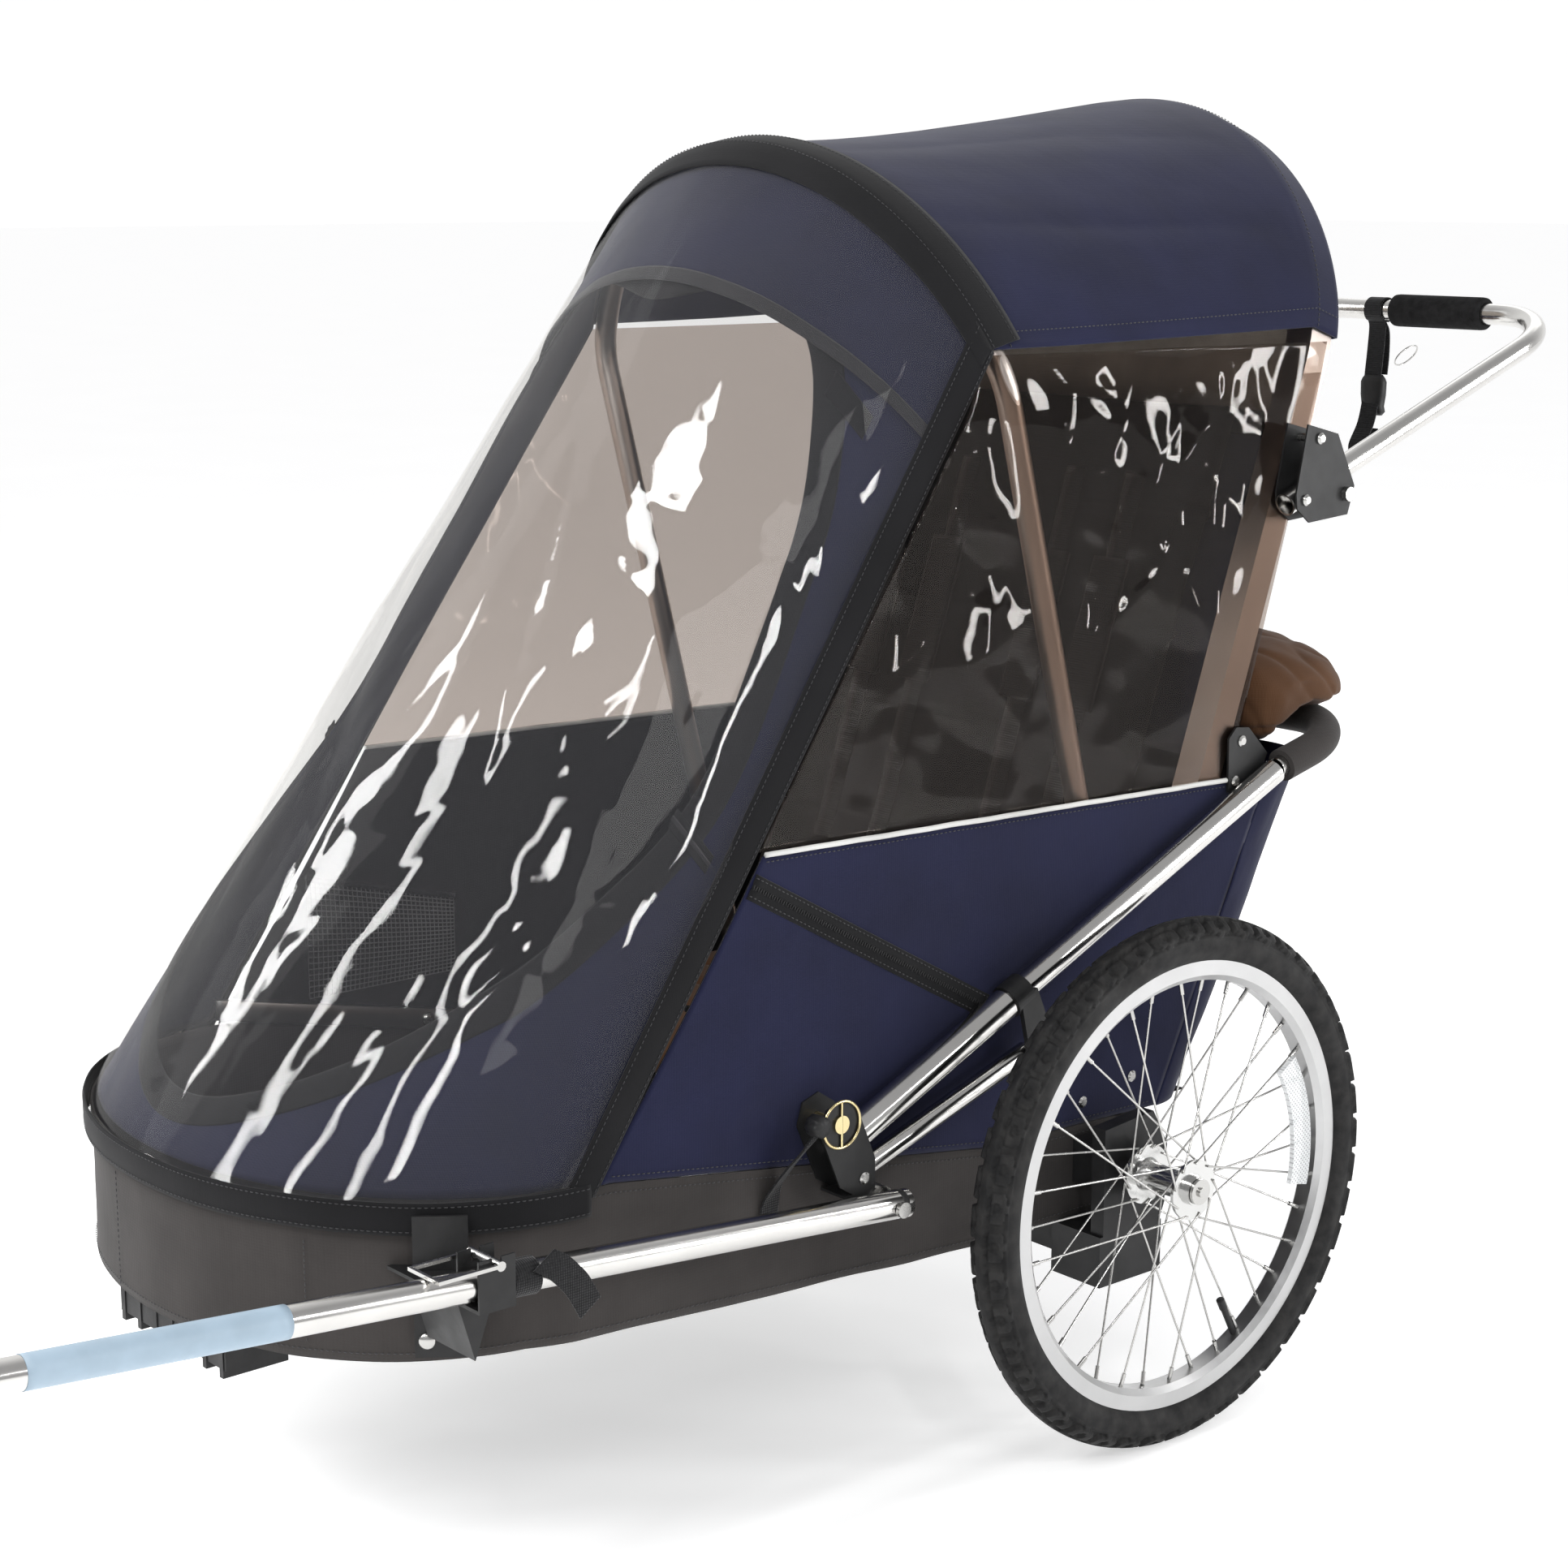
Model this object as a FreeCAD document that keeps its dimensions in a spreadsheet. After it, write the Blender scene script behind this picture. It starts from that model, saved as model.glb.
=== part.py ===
"""Two-wheel child bicycle trailer: hooped fabric cabin, push handle, braces and tow arm.

The model is laid out about the wheel axle: X to the trailer's left, -Y to its nose, Z up from
the floor.  Every sub-part is then placed so that the middle of the whole outline is the origin.
"""
import FreeCAD, Part
import Sketcher
import math
import os

V = FreeCAD.Vector
doc = FreeCAD.newDocument("child_bicycle_trailer")

# ---------------------------------------------------------------- driving dimensions (mm, degrees)
DIMENSIONS = {
    "axle_from_origin": 382.45,
    # wheels
    "tyre_outer_radius": 247.0, "tyre_section_radius": 23.0, "tyre_wall": 3.5,
    "rim_outer_radius": 209.5, "rim_width": 26.0, "rim_depth": 19.0,
    "wheel_plane": 412.0, "hub_plane": 407.0,
    "flange_radius": 28.0, "flange_spacing": 54.0, "flange_thickness": 3.0,
    "hub_body_radius": 13.0, "axle_radius": 6.0, "running_gap": 0.05,
    "spoke_radius": 1.0, "nipple_radius": 2.0, "nipple_length": 12.0,
    "hub_hole_radius": 25.0, "spoke_lacing_angle": 60.0,
    "button_radius": 4.5,
    # tub
    "tub_half_width": 306.0, "tub_wall": 3.0, "nose_start": 585.0, "nose_depth": 231.0,
    "tub_rear": 100.0, "tub_rear_corner": 60.0, "panel_outside": 305.0, "panel_thickness": 2.4,
    "window_line_front": 593.0, "window_line_rear": 580.0, "roof_edge": 995.0,
    "floor_height": 242.5, "floor_thickness": 5.5,
    # hoops: both turn about the same line
    "pivot_y": 61.0, "pivot_z": 308.0,
    "front_lean": 14.4, "front_height": 881.0, "front_leg": 660.0, "front_corner": 110.0,
    "front_tube_radius": 11.0, "front_half_width": 290.0,
    "rear_lean": -19.3, "rear_height": 945.0, "rear_leg": 700.0, "rear_corner": 170.0,
    "rear_tube": 30.0, "rear_half_width": 287.0, "tube_wall": 1.6,
    # braces
    "brace_plane": 322.0, "brace_slope": 24.8, "brace_foot_y": -333.0, "brace_foot_z": 327.0,
    "brace_length": 618.0, "brace_radius": 12.0,
    "sleeve_length": 224.0, "sleeve_radius": 14.3,
    "link_radius": 9.5, "rail_radius": 10.0, "rail_cover_radius": 16.0, "rail_rear": 345.0,
    # handle
    "handle_pivot_y": 249.0, "handle_pivot_z": 846.0, "handle_slope": 20.4,
    "handle_reach": 451.0, "handle_plane": 317.5, "handle_radius": 11.0, "handle_bend": 85.0,
    "grip_radius": 17.0, "grip_length": 117.0, "grip_inner_x": 98.0,
    "bolt_radius": 4.0,
    # tow arm
    "arm_plane": 354.0, "arm_pivot_y": -295.0, "arm_pivot_z": 278.4, "arm_slope": 4.8,
    "arm_radius": 12.7, "arm_wall": 2.0, "arm_length": 1060.0, "arm_tail": 16.0,
    "saddle_y": -716.0, "saddle_width": 34.0,
    "hitch_bore_radius": 5.0, "hitch_height": 30.0,
}

sheet = doc.addObject("Spreadsheet::Sheet", "Sizes")
for row, (alias, number) in enumerate(DIMENSIONS.items(), start=1):
    sheet.set(f"A{row}", alias)
    sheet.set(f"B{row}", str(number))
    sheet.setAlias(f"B{row}", alias)
doc.recompute()


class Size:
    """A length with both its number and the spreadsheet expression that gives it."""

    def __init__(self, number, text):
        self.number = float(number)
        self.text = text

    def join(self, other, sign, number):
        right = other.text if isinstance(other, Size) else repr(float(other))
        return Size(number, f"({self.text} {sign} {right})")

    def __add__(self, other):
        return self.join(other, "+", self.number + float(other))

    def __sub__(self, other):
        return self.join(other, "-", self.number - float(other))

    def __mul__(self, factor):
        return self.join(factor, "*", self.number * float(factor))

    def __neg__(self):
        return Size(-self.number, f"(-1 * {self.text})")

    def __float__(self):
        return self.number


class Dimensions:
    """Reads a driving dimension from the sheet by its alias."""

    def __getattr__(self, alias):
        return Size(sheet.get(alias), f"Sizes.{alias}")


D = Dimensions()
nodes = []


def bind(thing, prop, size):
    """Set a property and tie it to the sheet."""
    if isinstance(size, Size):
        thing.setExpression(prop, size.text)
    else:
        setattr(thing, prop, size)


def place(thing, x=0.0, y=0.0, z=0.0, axis=None, angle=0.0):
    """Put an object at a point that may hold sheet sizes, turned about an axis in degrees."""
    spin = FreeCAD.Rotation(V(*axis), float(angle)) if axis else FreeCAD.Rotation()
    thing.Placement = FreeCAD.Placement(V(float(x), float(y), float(z)), spin)
    for letter, size in (("x", x), ("y", y), ("z", z)):
        if isinstance(size, Size):
            thing.setExpression(f"Placement.Base.{letter}", size.text)
    if isinstance(angle, Size):
        thing.setExpression("Placement.Rotation.Angle", f"{angle.text} * 1deg")
    return thing


def node(thing, label):
    """Register a finished sub-part; it is moved from the axle's frame to the origin's."""
    thing.Label = label
    nodes.append(thing)
    return thing


def cylinder(radius, length, x=0.0, y=0.0, z=0.0, along="z"):
    """A Part cylinder that starts at a point and runs along one axis."""
    made = doc.addObject("Part::Cylinder", "Cylinder")
    bind(made, "Radius", radius)
    bind(made, "Height", length)
    turns = {"z": (None, 0.0), "x": ((0, 1, 0), 90.0), "y": ((1, 0, 0), -90.0)}
    axis, angle = turns[along]
    return place(made, x, y, z, axis, angle)


def box(size_x, size_y, size_z, x=0.0, y=0.0, z=0.0, axis=None, angle=0.0):
    """A Part box from its low corner."""
    made = doc.addObject("Part::Box", "Box")
    bind(made, "Length", size_x)
    bind(made, "Width", size_y)
    bind(made, "Height", size_z)
    return place(made, x, y, z, axis, angle)


def fuse(*things):
    made = doc.addObject("Part::MultiFuse", "Fuse")
    made.Shapes = list(things)
    return made


def cut(base, tool):
    made = doc.addObject("Part::Cut", "Cut")
    made.Base = base
    made.Tool = tool
    return made


def group(*things):
    made = doc.addObject("Part::Compound", "Group")
    made.Links = list(things)
    return made


def mirrored(thing):
    """The same piece on the trailer's other side."""
    made = doc.addObject("Part::Mirroring", "Mirror")
    made.Source = thing
    made.Base = V(0, 0, 0)
    made.Normal = V(1, 0, 0)
    return made


def pair(thing):
    return group(thing, mirrored(thing))


def finished(label):
    """A finished sub-part, by its name."""
    return next(thing for thing in nodes if thing.Label == label)


def fabric(shape):
    """A stretched or draped fabric shape that no sketch feature gives."""
    made = doc.addObject("Part::Feature", "Fabric")
    made.Shape = shape
    return made


def origin_plane(body, role):
    return [plane for plane in body.Origin.OriginFeatures if plane.Role == role][0]


def sketch(body, role, name):
    made = body.newObject("Sketcher::SketchObject", name)
    made.AttachmentSupport = [(origin_plane(body, role), "")]
    made.MapMode = "FlatFace"
    return made


def hold_point(drawing, edge, end, across, up):
    """Pin a sketch point at sheet distances from the sketch's origin."""
    for kind, size in (("DistanceX", across), ("DistanceY", up)):
        index = drawing.addConstraint(Sketcher.Constraint(kind, -1, 1, edge, end, float(size)))
        if isinstance(size, Size):
            drawing.setExpression(f"Constraints[{index}]", size.text)


def polygon(drawing, points):
    """A closed outline through points whose coordinates may be sheet sizes."""
    count = len(points)
    for index, (across, up) in enumerate(points):
        after = points[(index + 1) % count]
        start = V(float(across), float(up), 0)
        end = V(float(after[0]), float(after[1]), 0)
        drawing.addGeometry(Part.LineSegment(start, end))
    for index in range(count):
        drawing.addConstraint(Sketcher.Constraint("Coincident", index, 2, (index + 1) % count, 1))
    for index, (across, up) in enumerate(points):
        hold_point(drawing, index, 1, across, up)


def plate(points, thickness, x):
    """A flat plate in the side view: outline in (y, z), growing outboard from x."""
    body = doc.addObject("PartDesign::Body", "Plate")
    drawing = sketch(body, "YZ_Plane", "Outline")
    polygon(drawing, points)
    pad = body.newObject("PartDesign::Pad", "Pad")
    pad.Profile = drawing
    bind(pad, "Length", thickness)
    return place(body, x=x)


def turned(points):
    """A piece turned about the X axis: outline in (x, radius)."""
    body = doc.addObject("PartDesign::Body", "Turned")
    drawing = sketch(body, "XY_Plane", "Section")
    polygon(drawing, points)
    spin = body.newObject("PartDesign::Revolution", "Revolution")
    spin.Profile = drawing
    spin.ReferenceAxis = (drawing, ["H_Axis"])
    spin.Angle = 360
    return body


# ---------------------------------------------------------------------------------------- arches
class Arch:
    """A hoop of three tangent arcs on two straight legs, in a plane that leans about its feet."""

    def __init__(self, half, leg, corner, height, lean):
        self.half, self.leg, self.corner = float(half), float(leg), float(corner)
        self.height, self.lean = float(height), math.radians(float(lean))
        inset = self.half - self.corner
        rise = self.height - self.leg
        self.crown = (inset ** 2 + rise ** 2 - self.corner ** 2) / (2 * (rise - self.corner))
        self.inset = inset
        self.turn = math.atan2(self.leg - (self.height - self.crown), inset)

    def flat(self, normal, gap=0.0):
        """The point whose outward normal has this angle, moved out by a gap."""
        side = 1.0 if normal <= math.pi / 2 else -1.0
        angle = normal if side > 0 else math.pi - normal
        if angle <= self.turn:
            centre_x, centre_z, radius = self.inset, self.leg, self.corner
        else:
            centre_x, centre_z, radius = 0.0, self.height - self.crown, self.crown
        across = centre_x + (radius + gap) * math.cos(angle)
        return side * across, centre_z + (radius + gap) * math.sin(angle)

    def lift(self, across, up, ahead=0.0):
        """A point of the leaning plane, moved ahead of it, in the axle's frame."""
        sine, cosine = math.sin(self.lean), math.cos(self.lean)
        y = float(D.pivot_y) - up * sine - ahead * cosine
        z = float(D.pivot_z) + up * cosine - ahead * sine
        return V(across, y, z)

    def edge_normal(self, up):
        """The normal angle at which the arch reaches a height above its feet."""
        return math.asin((up - self.leg) / self.corner)

    def points(self, gap, ahead, first, count=24):
        last = math.pi - first
        angles = [first + (last - first) * step / count for step in range(count + 1)]
        return [self.lift(*self.flat(angle, gap), ahead) for angle in angles]


front_arch = Arch(D.front_half_width, D.front_leg, D.front_corner, D.front_height, D.front_lean)
rear_arch = Arch(D.rear_half_width, D.rear_leg, D.rear_corner, D.rear_height, D.rear_lean)
front_edge = front_arch.edge_normal(709.0)
rear_edge = rear_arch.edge_normal(730.0)


def curve(points):
    spline = Part.BSplineCurve()
    spline.interpolate(points)
    return spline.toShape()


def band(outer, inner):
    """The closed outline between two open curves."""
    ends = [Part.LineSegment(outer[-1], inner[-1]).toShape(), Part.LineSegment(inner[0], outer[0]).toShape()]
    return Part.Wire([curve(outer), ends[0], curve(inner[::-1]), ends[1]])


def stretched(upper, lower):
    """Fabric stretched between two outlines."""
    return Part.makeLoft([upper, lower], True, True)


def nose_points(height, outset, first=0.0, count=24):
    """The nose seen from above: half an ellipse, moved out by a distance."""
    half = float(D.tub_half_width) + outset
    depth = float(D.nose_depth) + outset
    angles = [first + (math.pi - 2 * first) * step / count for step in range(count + 1)]
    start = -float(D.nose_start)
    return [V(half * math.cos(a), start - depth * math.sin(a), height) for a in angles]


def tub_outline(inset, rear, corner, height):
    """The tub seen from above: rounded rear corners, straight sides and the nose."""
    half = float(D.tub_half_width) - inset
    rear = rear - inset
    radius = corner - inset
    bend = radius * (1 - math.sqrt(0.5))
    nose = curve(nose_points(height, -inset))
    start = -float(D.nose_start)
    left = Part.LineSegment(V(half, rear - radius, height), V(half, start, height)).toShape()
    right = Part.LineSegment(V(-half, start, height), V(-half, rear - radius, height)).toShape()
    corners = [
        Part.Arc(V(side * half, rear - radius, height), V(side * (half - bend), rear - bend, height),
                 V(side * (half - radius), rear, height)).toShape() for side in (1, -1)]
    back = Part.LineSegment(V(half - radius, rear, height), V(radius - half, rear, height)).toShape()
    return Part.Wire(Part.__sortEdges__([left, nose, right, corners[1], back, corners[0]]))


def prism(outline, height):
    return Part.Face(outline).extrude(V(0, 0, height))


def side_prism(points):
    """A solid across the whole trailer from an outline in (y, z)."""
    width = 500.0
    corners = [V(-width, y, z) for y, z in points]
    return Part.Face(Part.makePolygon(corners + corners[:1])).extrude(V(2 * width, 0, 0))


# ---------------------------------------------------------------------------------------- wheels
SPOKES = 36


def tyre():
    ring_radius = D.tyre_outer_radius - D.tyre_section_radius
    outside = doc.addObject("Part::Torus", "TyreOutside")
    hollow = doc.addObject("Part::Torus", "TyreHollow")
    for torus, section in ((outside, D.tyre_section_radius), (hollow, D.tyre_section_radius - D.tyre_wall)):
        bind(torus, "Radius1", ring_radius)
        bind(torus, "Radius2", section)
        place(torus, D.wheel_plane, 0.0, D.tyre_outer_radius, (0, 1, 0), 90.0)
    rim_space = cylinder(D.rim_outer_radius + 0.3, 60.0, D.wheel_plane - 30.0, 0.0, D.tyre_outer_radius, "x")
    return cut(outside, fuse(hollow, rim_space))


def rim():
    half = D.rim_width * 0.5
    top = D.rim_outer_radius
    bead = top - 6.5
    low = top - D.rim_depth
    profile = [(-half, top), (-half + 2.5, top), (-half + 2.5, bead), (-half + 6, bead), (-half + 8, bead - 5),
               (half - 8, bead - 5), (half - 6, bead), (half - 2.5, bead), (half - 2.5, top), (half, top),
               (half, low + 5.5), (half - 5, low), (-half + 5, low), (-half, low + 5.5)]
    return place(turned(profile), D.wheel_plane, 0.0, D.tyre_outer_radius)


def hub():
    outer = D.flange_spacing * 0.5
    flange_out = outer + D.flange_thickness
    bore = D.axle_radius + D.running_gap
    profile = [(-36, bore), (-36, 10), (-flange_out, 10), (-flange_out, D.flange_radius),
               (-outer, D.flange_radius), (-outer, 16), (-20, D.hub_body_radius), (20, D.hub_body_radius),
               (outer, 16), (outer, D.flange_radius), (flange_out, D.flange_radius), (flange_out, 14),
               (35, 14), (35, bore)]
    return place(turned(profile), D.hub_plane, 0.0, D.tyre_outer_radius)


def wheel_point(x, radius, angle):
    return V(x, radius * math.cos(angle), float(D.tyre_outer_radius) + radius * math.sin(angle))


def spokes():
    """Crossed spokes: each leaves its flange on one face and runs forward or back to its nipple."""
    pieces = []
    rim_inside = float(D.rim_outer_radius - D.rim_depth) - 0.3
    offset = float(D.flange_thickness) / 2 + float(D.spoke_radius) + 0.15
    middle = (float(D.flange_spacing) + float(D.flange_thickness)) / 2
    for index in range(SPOKES):
        side = 1 if index % 2 else -1
        way = 1 if (index // 2) % 2 else -1
        rim_angle = 2 * math.pi * index / SPOKES
        hub_angle = rim_angle + way * math.radians(float(D.spoke_lacing_angle))
        start = wheel_point(float(D.hub_plane) + side * middle + way * offset, float(D.hub_hole_radius), hub_angle)
        end = wheel_point(float(D.wheel_plane) + side * 1.5, rim_inside, rim_angle)
        run = end - start
        turn = FreeCAD.Rotation(V(0, 0, 1), run)
        nipple_start = end - V(run).normalize() * float(D.nipple_length)
        lengths = ((D.spoke_radius, run.Length - float(D.nipple_length), start), (D.nipple_radius, None, nipple_start))
        for radius, length, place_at in lengths:
            made = doc.addObject("Part::Cylinder", "Spoke" if length else "Nipple")
            bind(made, "Radius", radius)
            bind(made, "Height", length if length else D.nipple_length)
            made.Placement = FreeCAD.Placement(place_at, turn)
            pieces.append(made)
    return group(*pieces)


def reflector():
    """A curved clear bar on the outer spokes."""
    outer_arc, inner_arc = (doc.addObject("Part::Cylinder", "ReflectorArc") for _ in range(2))
    for arc, radius, length in ((outer_arc, 176.0, 5.0), (inner_arc, 152.0, 12.0)):
        arc.Radius = radius
        arc.Height = length
        arc.Angle = 44 if arc is outer_arc else 360
        start = D.wheel_plane + (8.8 if arc is outer_arc else 4.0)
        place(arc, start, 0.0, D.tyre_outer_radius, (0, 1, 0), 90.0)
    tilt = FreeCAD.Rotation(V(1, 0, 0), 78.0)
    outer_arc.Placement = FreeCAD.Placement(outer_arc.Placement.Base, tilt.multiply(outer_arc.Placement.Rotation))
    return cut(outer_arc, inner_arc)


def wheels():
    for name, maker in (("tyre", tyre), ("rim", rim), ("hub", hub), ("spokes", spokes), ("reflector", reflector)):
        left = maker()
        node(left, f"{name}_left")
        node(mirrored(left), f"{name}_right")


def axle_ends():
    height = D.tyre_outer_radius
    rod = fuse(cylinder(D.axle_radius, 82.0, 362.0, 0.0, height, "x"), cylinder(10.0, 8.5, 362.0, 0.0, height, "x"),
               cylinder(12.0, 3.0, 442.6, 0.0, height, "x"))
    well = cylinder(D.button_radius + D.running_gap, 9.0, 437.0, 0.0, height, "x")
    node(pair(cut(rod, well)), "axle_shafts")
    button = cylinder(D.button_radius, 7.5, 440.6, 0.0, height, "x")
    node(button, "axle_button_left")
    node(mirrored(button), "axle_button_right")
    cheek = plate([(-38, 292), (26, 298), (46, 262), (44, 205), (36, 186), (-38, 186)], 16.0, 346.0)
    arm = box(40.0, 44.0, 44.0, 306.2, -22.0, 225.0)
    foot = box(62.0, 82.0, 49.0, 300.0, -42.0, 140.5)
    node(pair(fuse(cheek, arm, foot)), "axle_brackets")


# ------------------------------------------------------------------------------------ base and tub
SEAM = [(-900.0, 345.0), (-560.0, 345.0), (-135.0, 282.0), (140.0, 274.0)]
HEM = [(140.0, 190.0), (-140.0, 191.0), (-640.0, 222.0), (-900.0, 205.0)]


def base_frame():
    rail_bottom = 222.0
    side = 20.0
    rails = [box(side, 690.0, side, x, -600.0, rail_bottom) for x in (268.0, -268.0 - side)]
    crosses = [box(536.0, side, side, -268.0, y, rail_bottom) for y in (-600.0, -300.0, 70.0)]
    front = [box(side, 120.0, side, x, -720.0, rail_bottom) for x in (140.0, -140.0 - side)]
    nose_bar = box(320.0, side, side, -160.0, -740.0, rail_bottom)
    risers = [box(24.0, 40.0, 32.0, x, -20.0, 190.0) for x in (240.0, -264.0)]
    shelf = [box(34.0, 40.0, 6.0, x, -20.0, 222.0) for x in (240.0, -274.0)]
    lugs = [plate([(35, 238), (90, 238), (74, 322), (48, 322)], 4.0, x) for x in (268.2, -272.2)]
    holes = [cylinder(4.2, 8.0, x, D.pivot_y, D.pivot_z, "x") for x in (266.0, -274.0)]
    welded = cut(fuse(*rails, *crosses, *front, nose_bar, *risers, *shelf, *lugs), fuse(*holes))
    beam = cut(box(600.0, 40.0, 40.0, -300.0, -20.0, 150.0), box(600.0, 34.0, 34.0, -300.0, -17.0, 153.0))
    node(fuse(welded, beam), "base_frame")


def tub():
    rear, corner = float(D.tub_rear), float(D.tub_rear_corner)
    outside = prism(tub_outline(0.0, rear, corner, 180.0), 180.0)
    inside = prism(tub_outline(float(D.tub_wall), rear, corner, 170.0), 200.0)
    skirt = outside.cut(inside).common(side_prism(SEAM + HEM))
    node(cut(fabric(skirt.Solids[0]), finished("base_frame")), "skirt_band")
    board = prism(tub_outline(float(D.tub_wall) + 1.5, rear, corner, float(D.floor_height)), float(D.floor_thickness))
    node(cut(fabric(board), finished("base_frame")), "floor_board")
    ribs = [box(6.0, 62.0, 34.0, -87.0 + 28.0 * step, -798.0, 171.0) for step in range(7)]
    shoe = [box(180.0, 60.0, 27.0, -90.0, -797.0, 178.0), box(180.0, 40.0, 44.0, -90.0, -760.0, 178.0)]
    node(fuse(*shoe, *ribs), "nose_skid")


def side_panels():
    inner = D.panel_outside - D.panel_thickness
    front_top = D.window_line_front
    outline = [(-398, front_top), (-572, 346), (-560, 346), (-135, 283), (88, 276.5), (238, 579),
               (183, D.window_line_rear)]
    left = plate(outline, D.panel_thickness, inner)
    node(left, "side_panel_left")
    node(mirrored(left), "side_panel_right")
    window = plate([(-395, front_top + 6.5), (183, D.window_line_rear + 6.5), (306, D.roof_edge - 5),
                    (-128, D.roof_edge - 2)], 1.0, inner + 0.4)
    node(pair(window), "side_windows")


def trunk_wire(height, straight_end, rear, radius, half, thickness):
    """A U seen from above: two sides and a rounded rear."""
    edges = []
    for inset in (0.0, thickness):
        reach, back, bend_radius = half - inset, rear - inset, radius - inset
        bend = bend_radius * (1 - math.sqrt(0.5))
        side_end = back - bend_radius
        points = [V(reach, straight_end, height), V(reach, side_end, height), V(reach - bend, back - bend, height),
                  V(reach - bend_radius, back, height), V(bend_radius - reach, back, height),
                  V(bend - reach, back - bend, height), V(-reach, side_end, height), V(-reach, straight_end, height)]
        chain = [Part.LineSegment(points[0], points[1]).toShape(), Part.Arc(*points[1:4]).toShape(),
                 Part.LineSegment(points[3], points[4]).toShape(), Part.Arc(*points[4:7]).toShape(),
                 Part.LineSegment(points[6], points[7]).toShape()]
        edges.append((points, chain))
    (outer, outer_chain), (inner, inner_chain) = edges
    ends = [Part.LineSegment(outer[0], inner[0]).toShape(), Part.LineSegment(outer[-1], inner[-1]).toShape()]
    return Part.Wire(Part.__sortEdges__(outer_chain + inner_chain + ends))


def rounded_rectangle(half, front, back, radius, height):
    bend = radius * (1 - math.sqrt(0.5))
    corners = [(half, front, -1, 1), (half, back, -1, -1), (-half, back, 1, -1), (-half, front, 1, 1)]
    edges, joints = [], []
    for x, y, to_x, to_y in corners:
        along_y = V(x, y + to_y * radius, height)
        along_x = V(x + to_x * radius, y, height)
        middle = V(x + to_x * bend, y + to_y * bend, height)
        first, last = (along_x, along_y) if to_x * to_y < 0 else (along_y, along_x)
        edges.append(Part.Arc(first, middle, last).toShape())
        joints.append((first, last))
    for index in range(4):
        edges.append(Part.LineSegment(joints[index][1], joints[(index + 1) % 4][0]).toShape())
    return Part.Wire(Part.__sortEdges__(edges))


def trunk():
    half = float(D.panel_outside)
    lower = trunk_wire(276.5, 90.0, 150.0, 58.0, half, 3.0)
    upper = trunk_wire(578.0, 241.0, 333.0, 78.0, half, 3.0)
    walls = Part.makeLoft([lower, upper], True, True)
    base = prism(tub_outline(3.2, 150.0, 58.0, 276.5), 3.0)
    keep = Part.makeBox(610.0, 120.0, 20.0, V(-305.0, 101.0, 270.0))
    node(fabric(walls.fuse(base.common(keep)).removeSplitter().Solids[0]), "rear_trunk")
    sections = [(303.0, 218.0, 380.0, 60.0, 608.0), (304.5, 218.0, 397.0, 62.0, 642.0),
                (298.0, 219.0, 389.0, 60.0, 672.0), (262.0, 222.0, 356.0, 50.0, 695.0),
                (180.0, 228.0, 310.0, 30.0, 704.0)]
    lining = [(half - 4, front + 4, back - 4, radius - 4, height - (4 if height > 610 else 1))
              for half, front, back, radius, height in sections]
    dome = Part.makeLoft([rounded_rectangle(*section) for section in sections], True, True)
    hollow = Part.makeLoft([rounded_rectangle(*section) for section in lining], True, True)
    rail_space = Part.makeBox(700.0, 200.0, 60.0, V(-350.0, 268.0, 576.0))
    node(fabric(dome.cut(hollow).cut(rail_space).Solids[0]), "trunk_cover")


# ------------------------------------------------------------------------------------ cabin fabric
def cabin():
    cover_first = front_edge
    roof_front = band(front_arch.points(14.5, 8.0, front_edge), front_arch.points(12.5, 8.0, front_edge))
    roof_crest, roof_rear = [band(rear_arch.points(18.2, ahead, rear_edge), rear_arch.points(16.2, ahead, rear_edge))
                             for ahead in (16.5, -18.0)]
    node(fabric(Part.makeLoft([roof_front, roof_crest, roof_rear], True, True)), "roof_canopy")

    panel_top = band(front_arch.points(6.0, 14.0, cover_first), front_arch.points(3.0, 14.0, cover_first))
    panel_low = band(nose_points(347.0, -3.8), nose_points(347.0, -6.8))
    panel = stretched(panel_top, panel_low)
    node(fabric(panel.cut(opening_prism()).Solids[0]), "front_panel")

    visor_top = band(front_arch.points(10.0, 16.0, cover_first), front_arch.points(8.0, 16.0, cover_first))
    visor_low = band(nose_points(347.0, 0.0), nose_points(347.0, -1.5))
    above_hem = side_prism([(-266, 1066), (-180, 890), (200, 890), (200, 1300), (-266, 1300)])
    node(fabric(stretched(visor_top, visor_low).common(above_hem).Solids[0]), "visor")

    cover_top = band(front_arch.points(16.5, 16.0, cover_first), front_arch.points(15.3, 16.0, cover_first))
    cover_low = band(nose_points(340.0, 5.0), nose_points(340.0, 3.8))
    doc.recompute()
    skirt = finished("skirt_band").Shape
    cover = stretched(cover_top, cover_low)
    node(fabric(cover), "rain_cover")
    under = cover.fuse([finished("front_panel").Shape, skirt])
    node(fabric(binding(cover_first).cut(under).Solids[0]), "cover_binding")


def opening_prism():
    """The teardrop opening of the front panel, cut straight through towards the rear."""
    half = [(97, 400), (155, 432), (201, 470), (240, 515), (262, 575), (269, 645), (260, 741), (250, 800), (240, 861),
            (220, 930), (196, 982), (160, 1022), (90, 1050)]
    ahead = -1000.0
    right = [V(0, ahead, 383)] + [V(x, ahead, z) for x, z in half] + [V(0, ahead, 1060)]
    left = [V(-point.x, ahead, point.z) for point in right[::-1]]
    return Part.Face(Part.Wire([curve(right), curve(left)])).extrude(V(0, 1200, 0))


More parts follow.
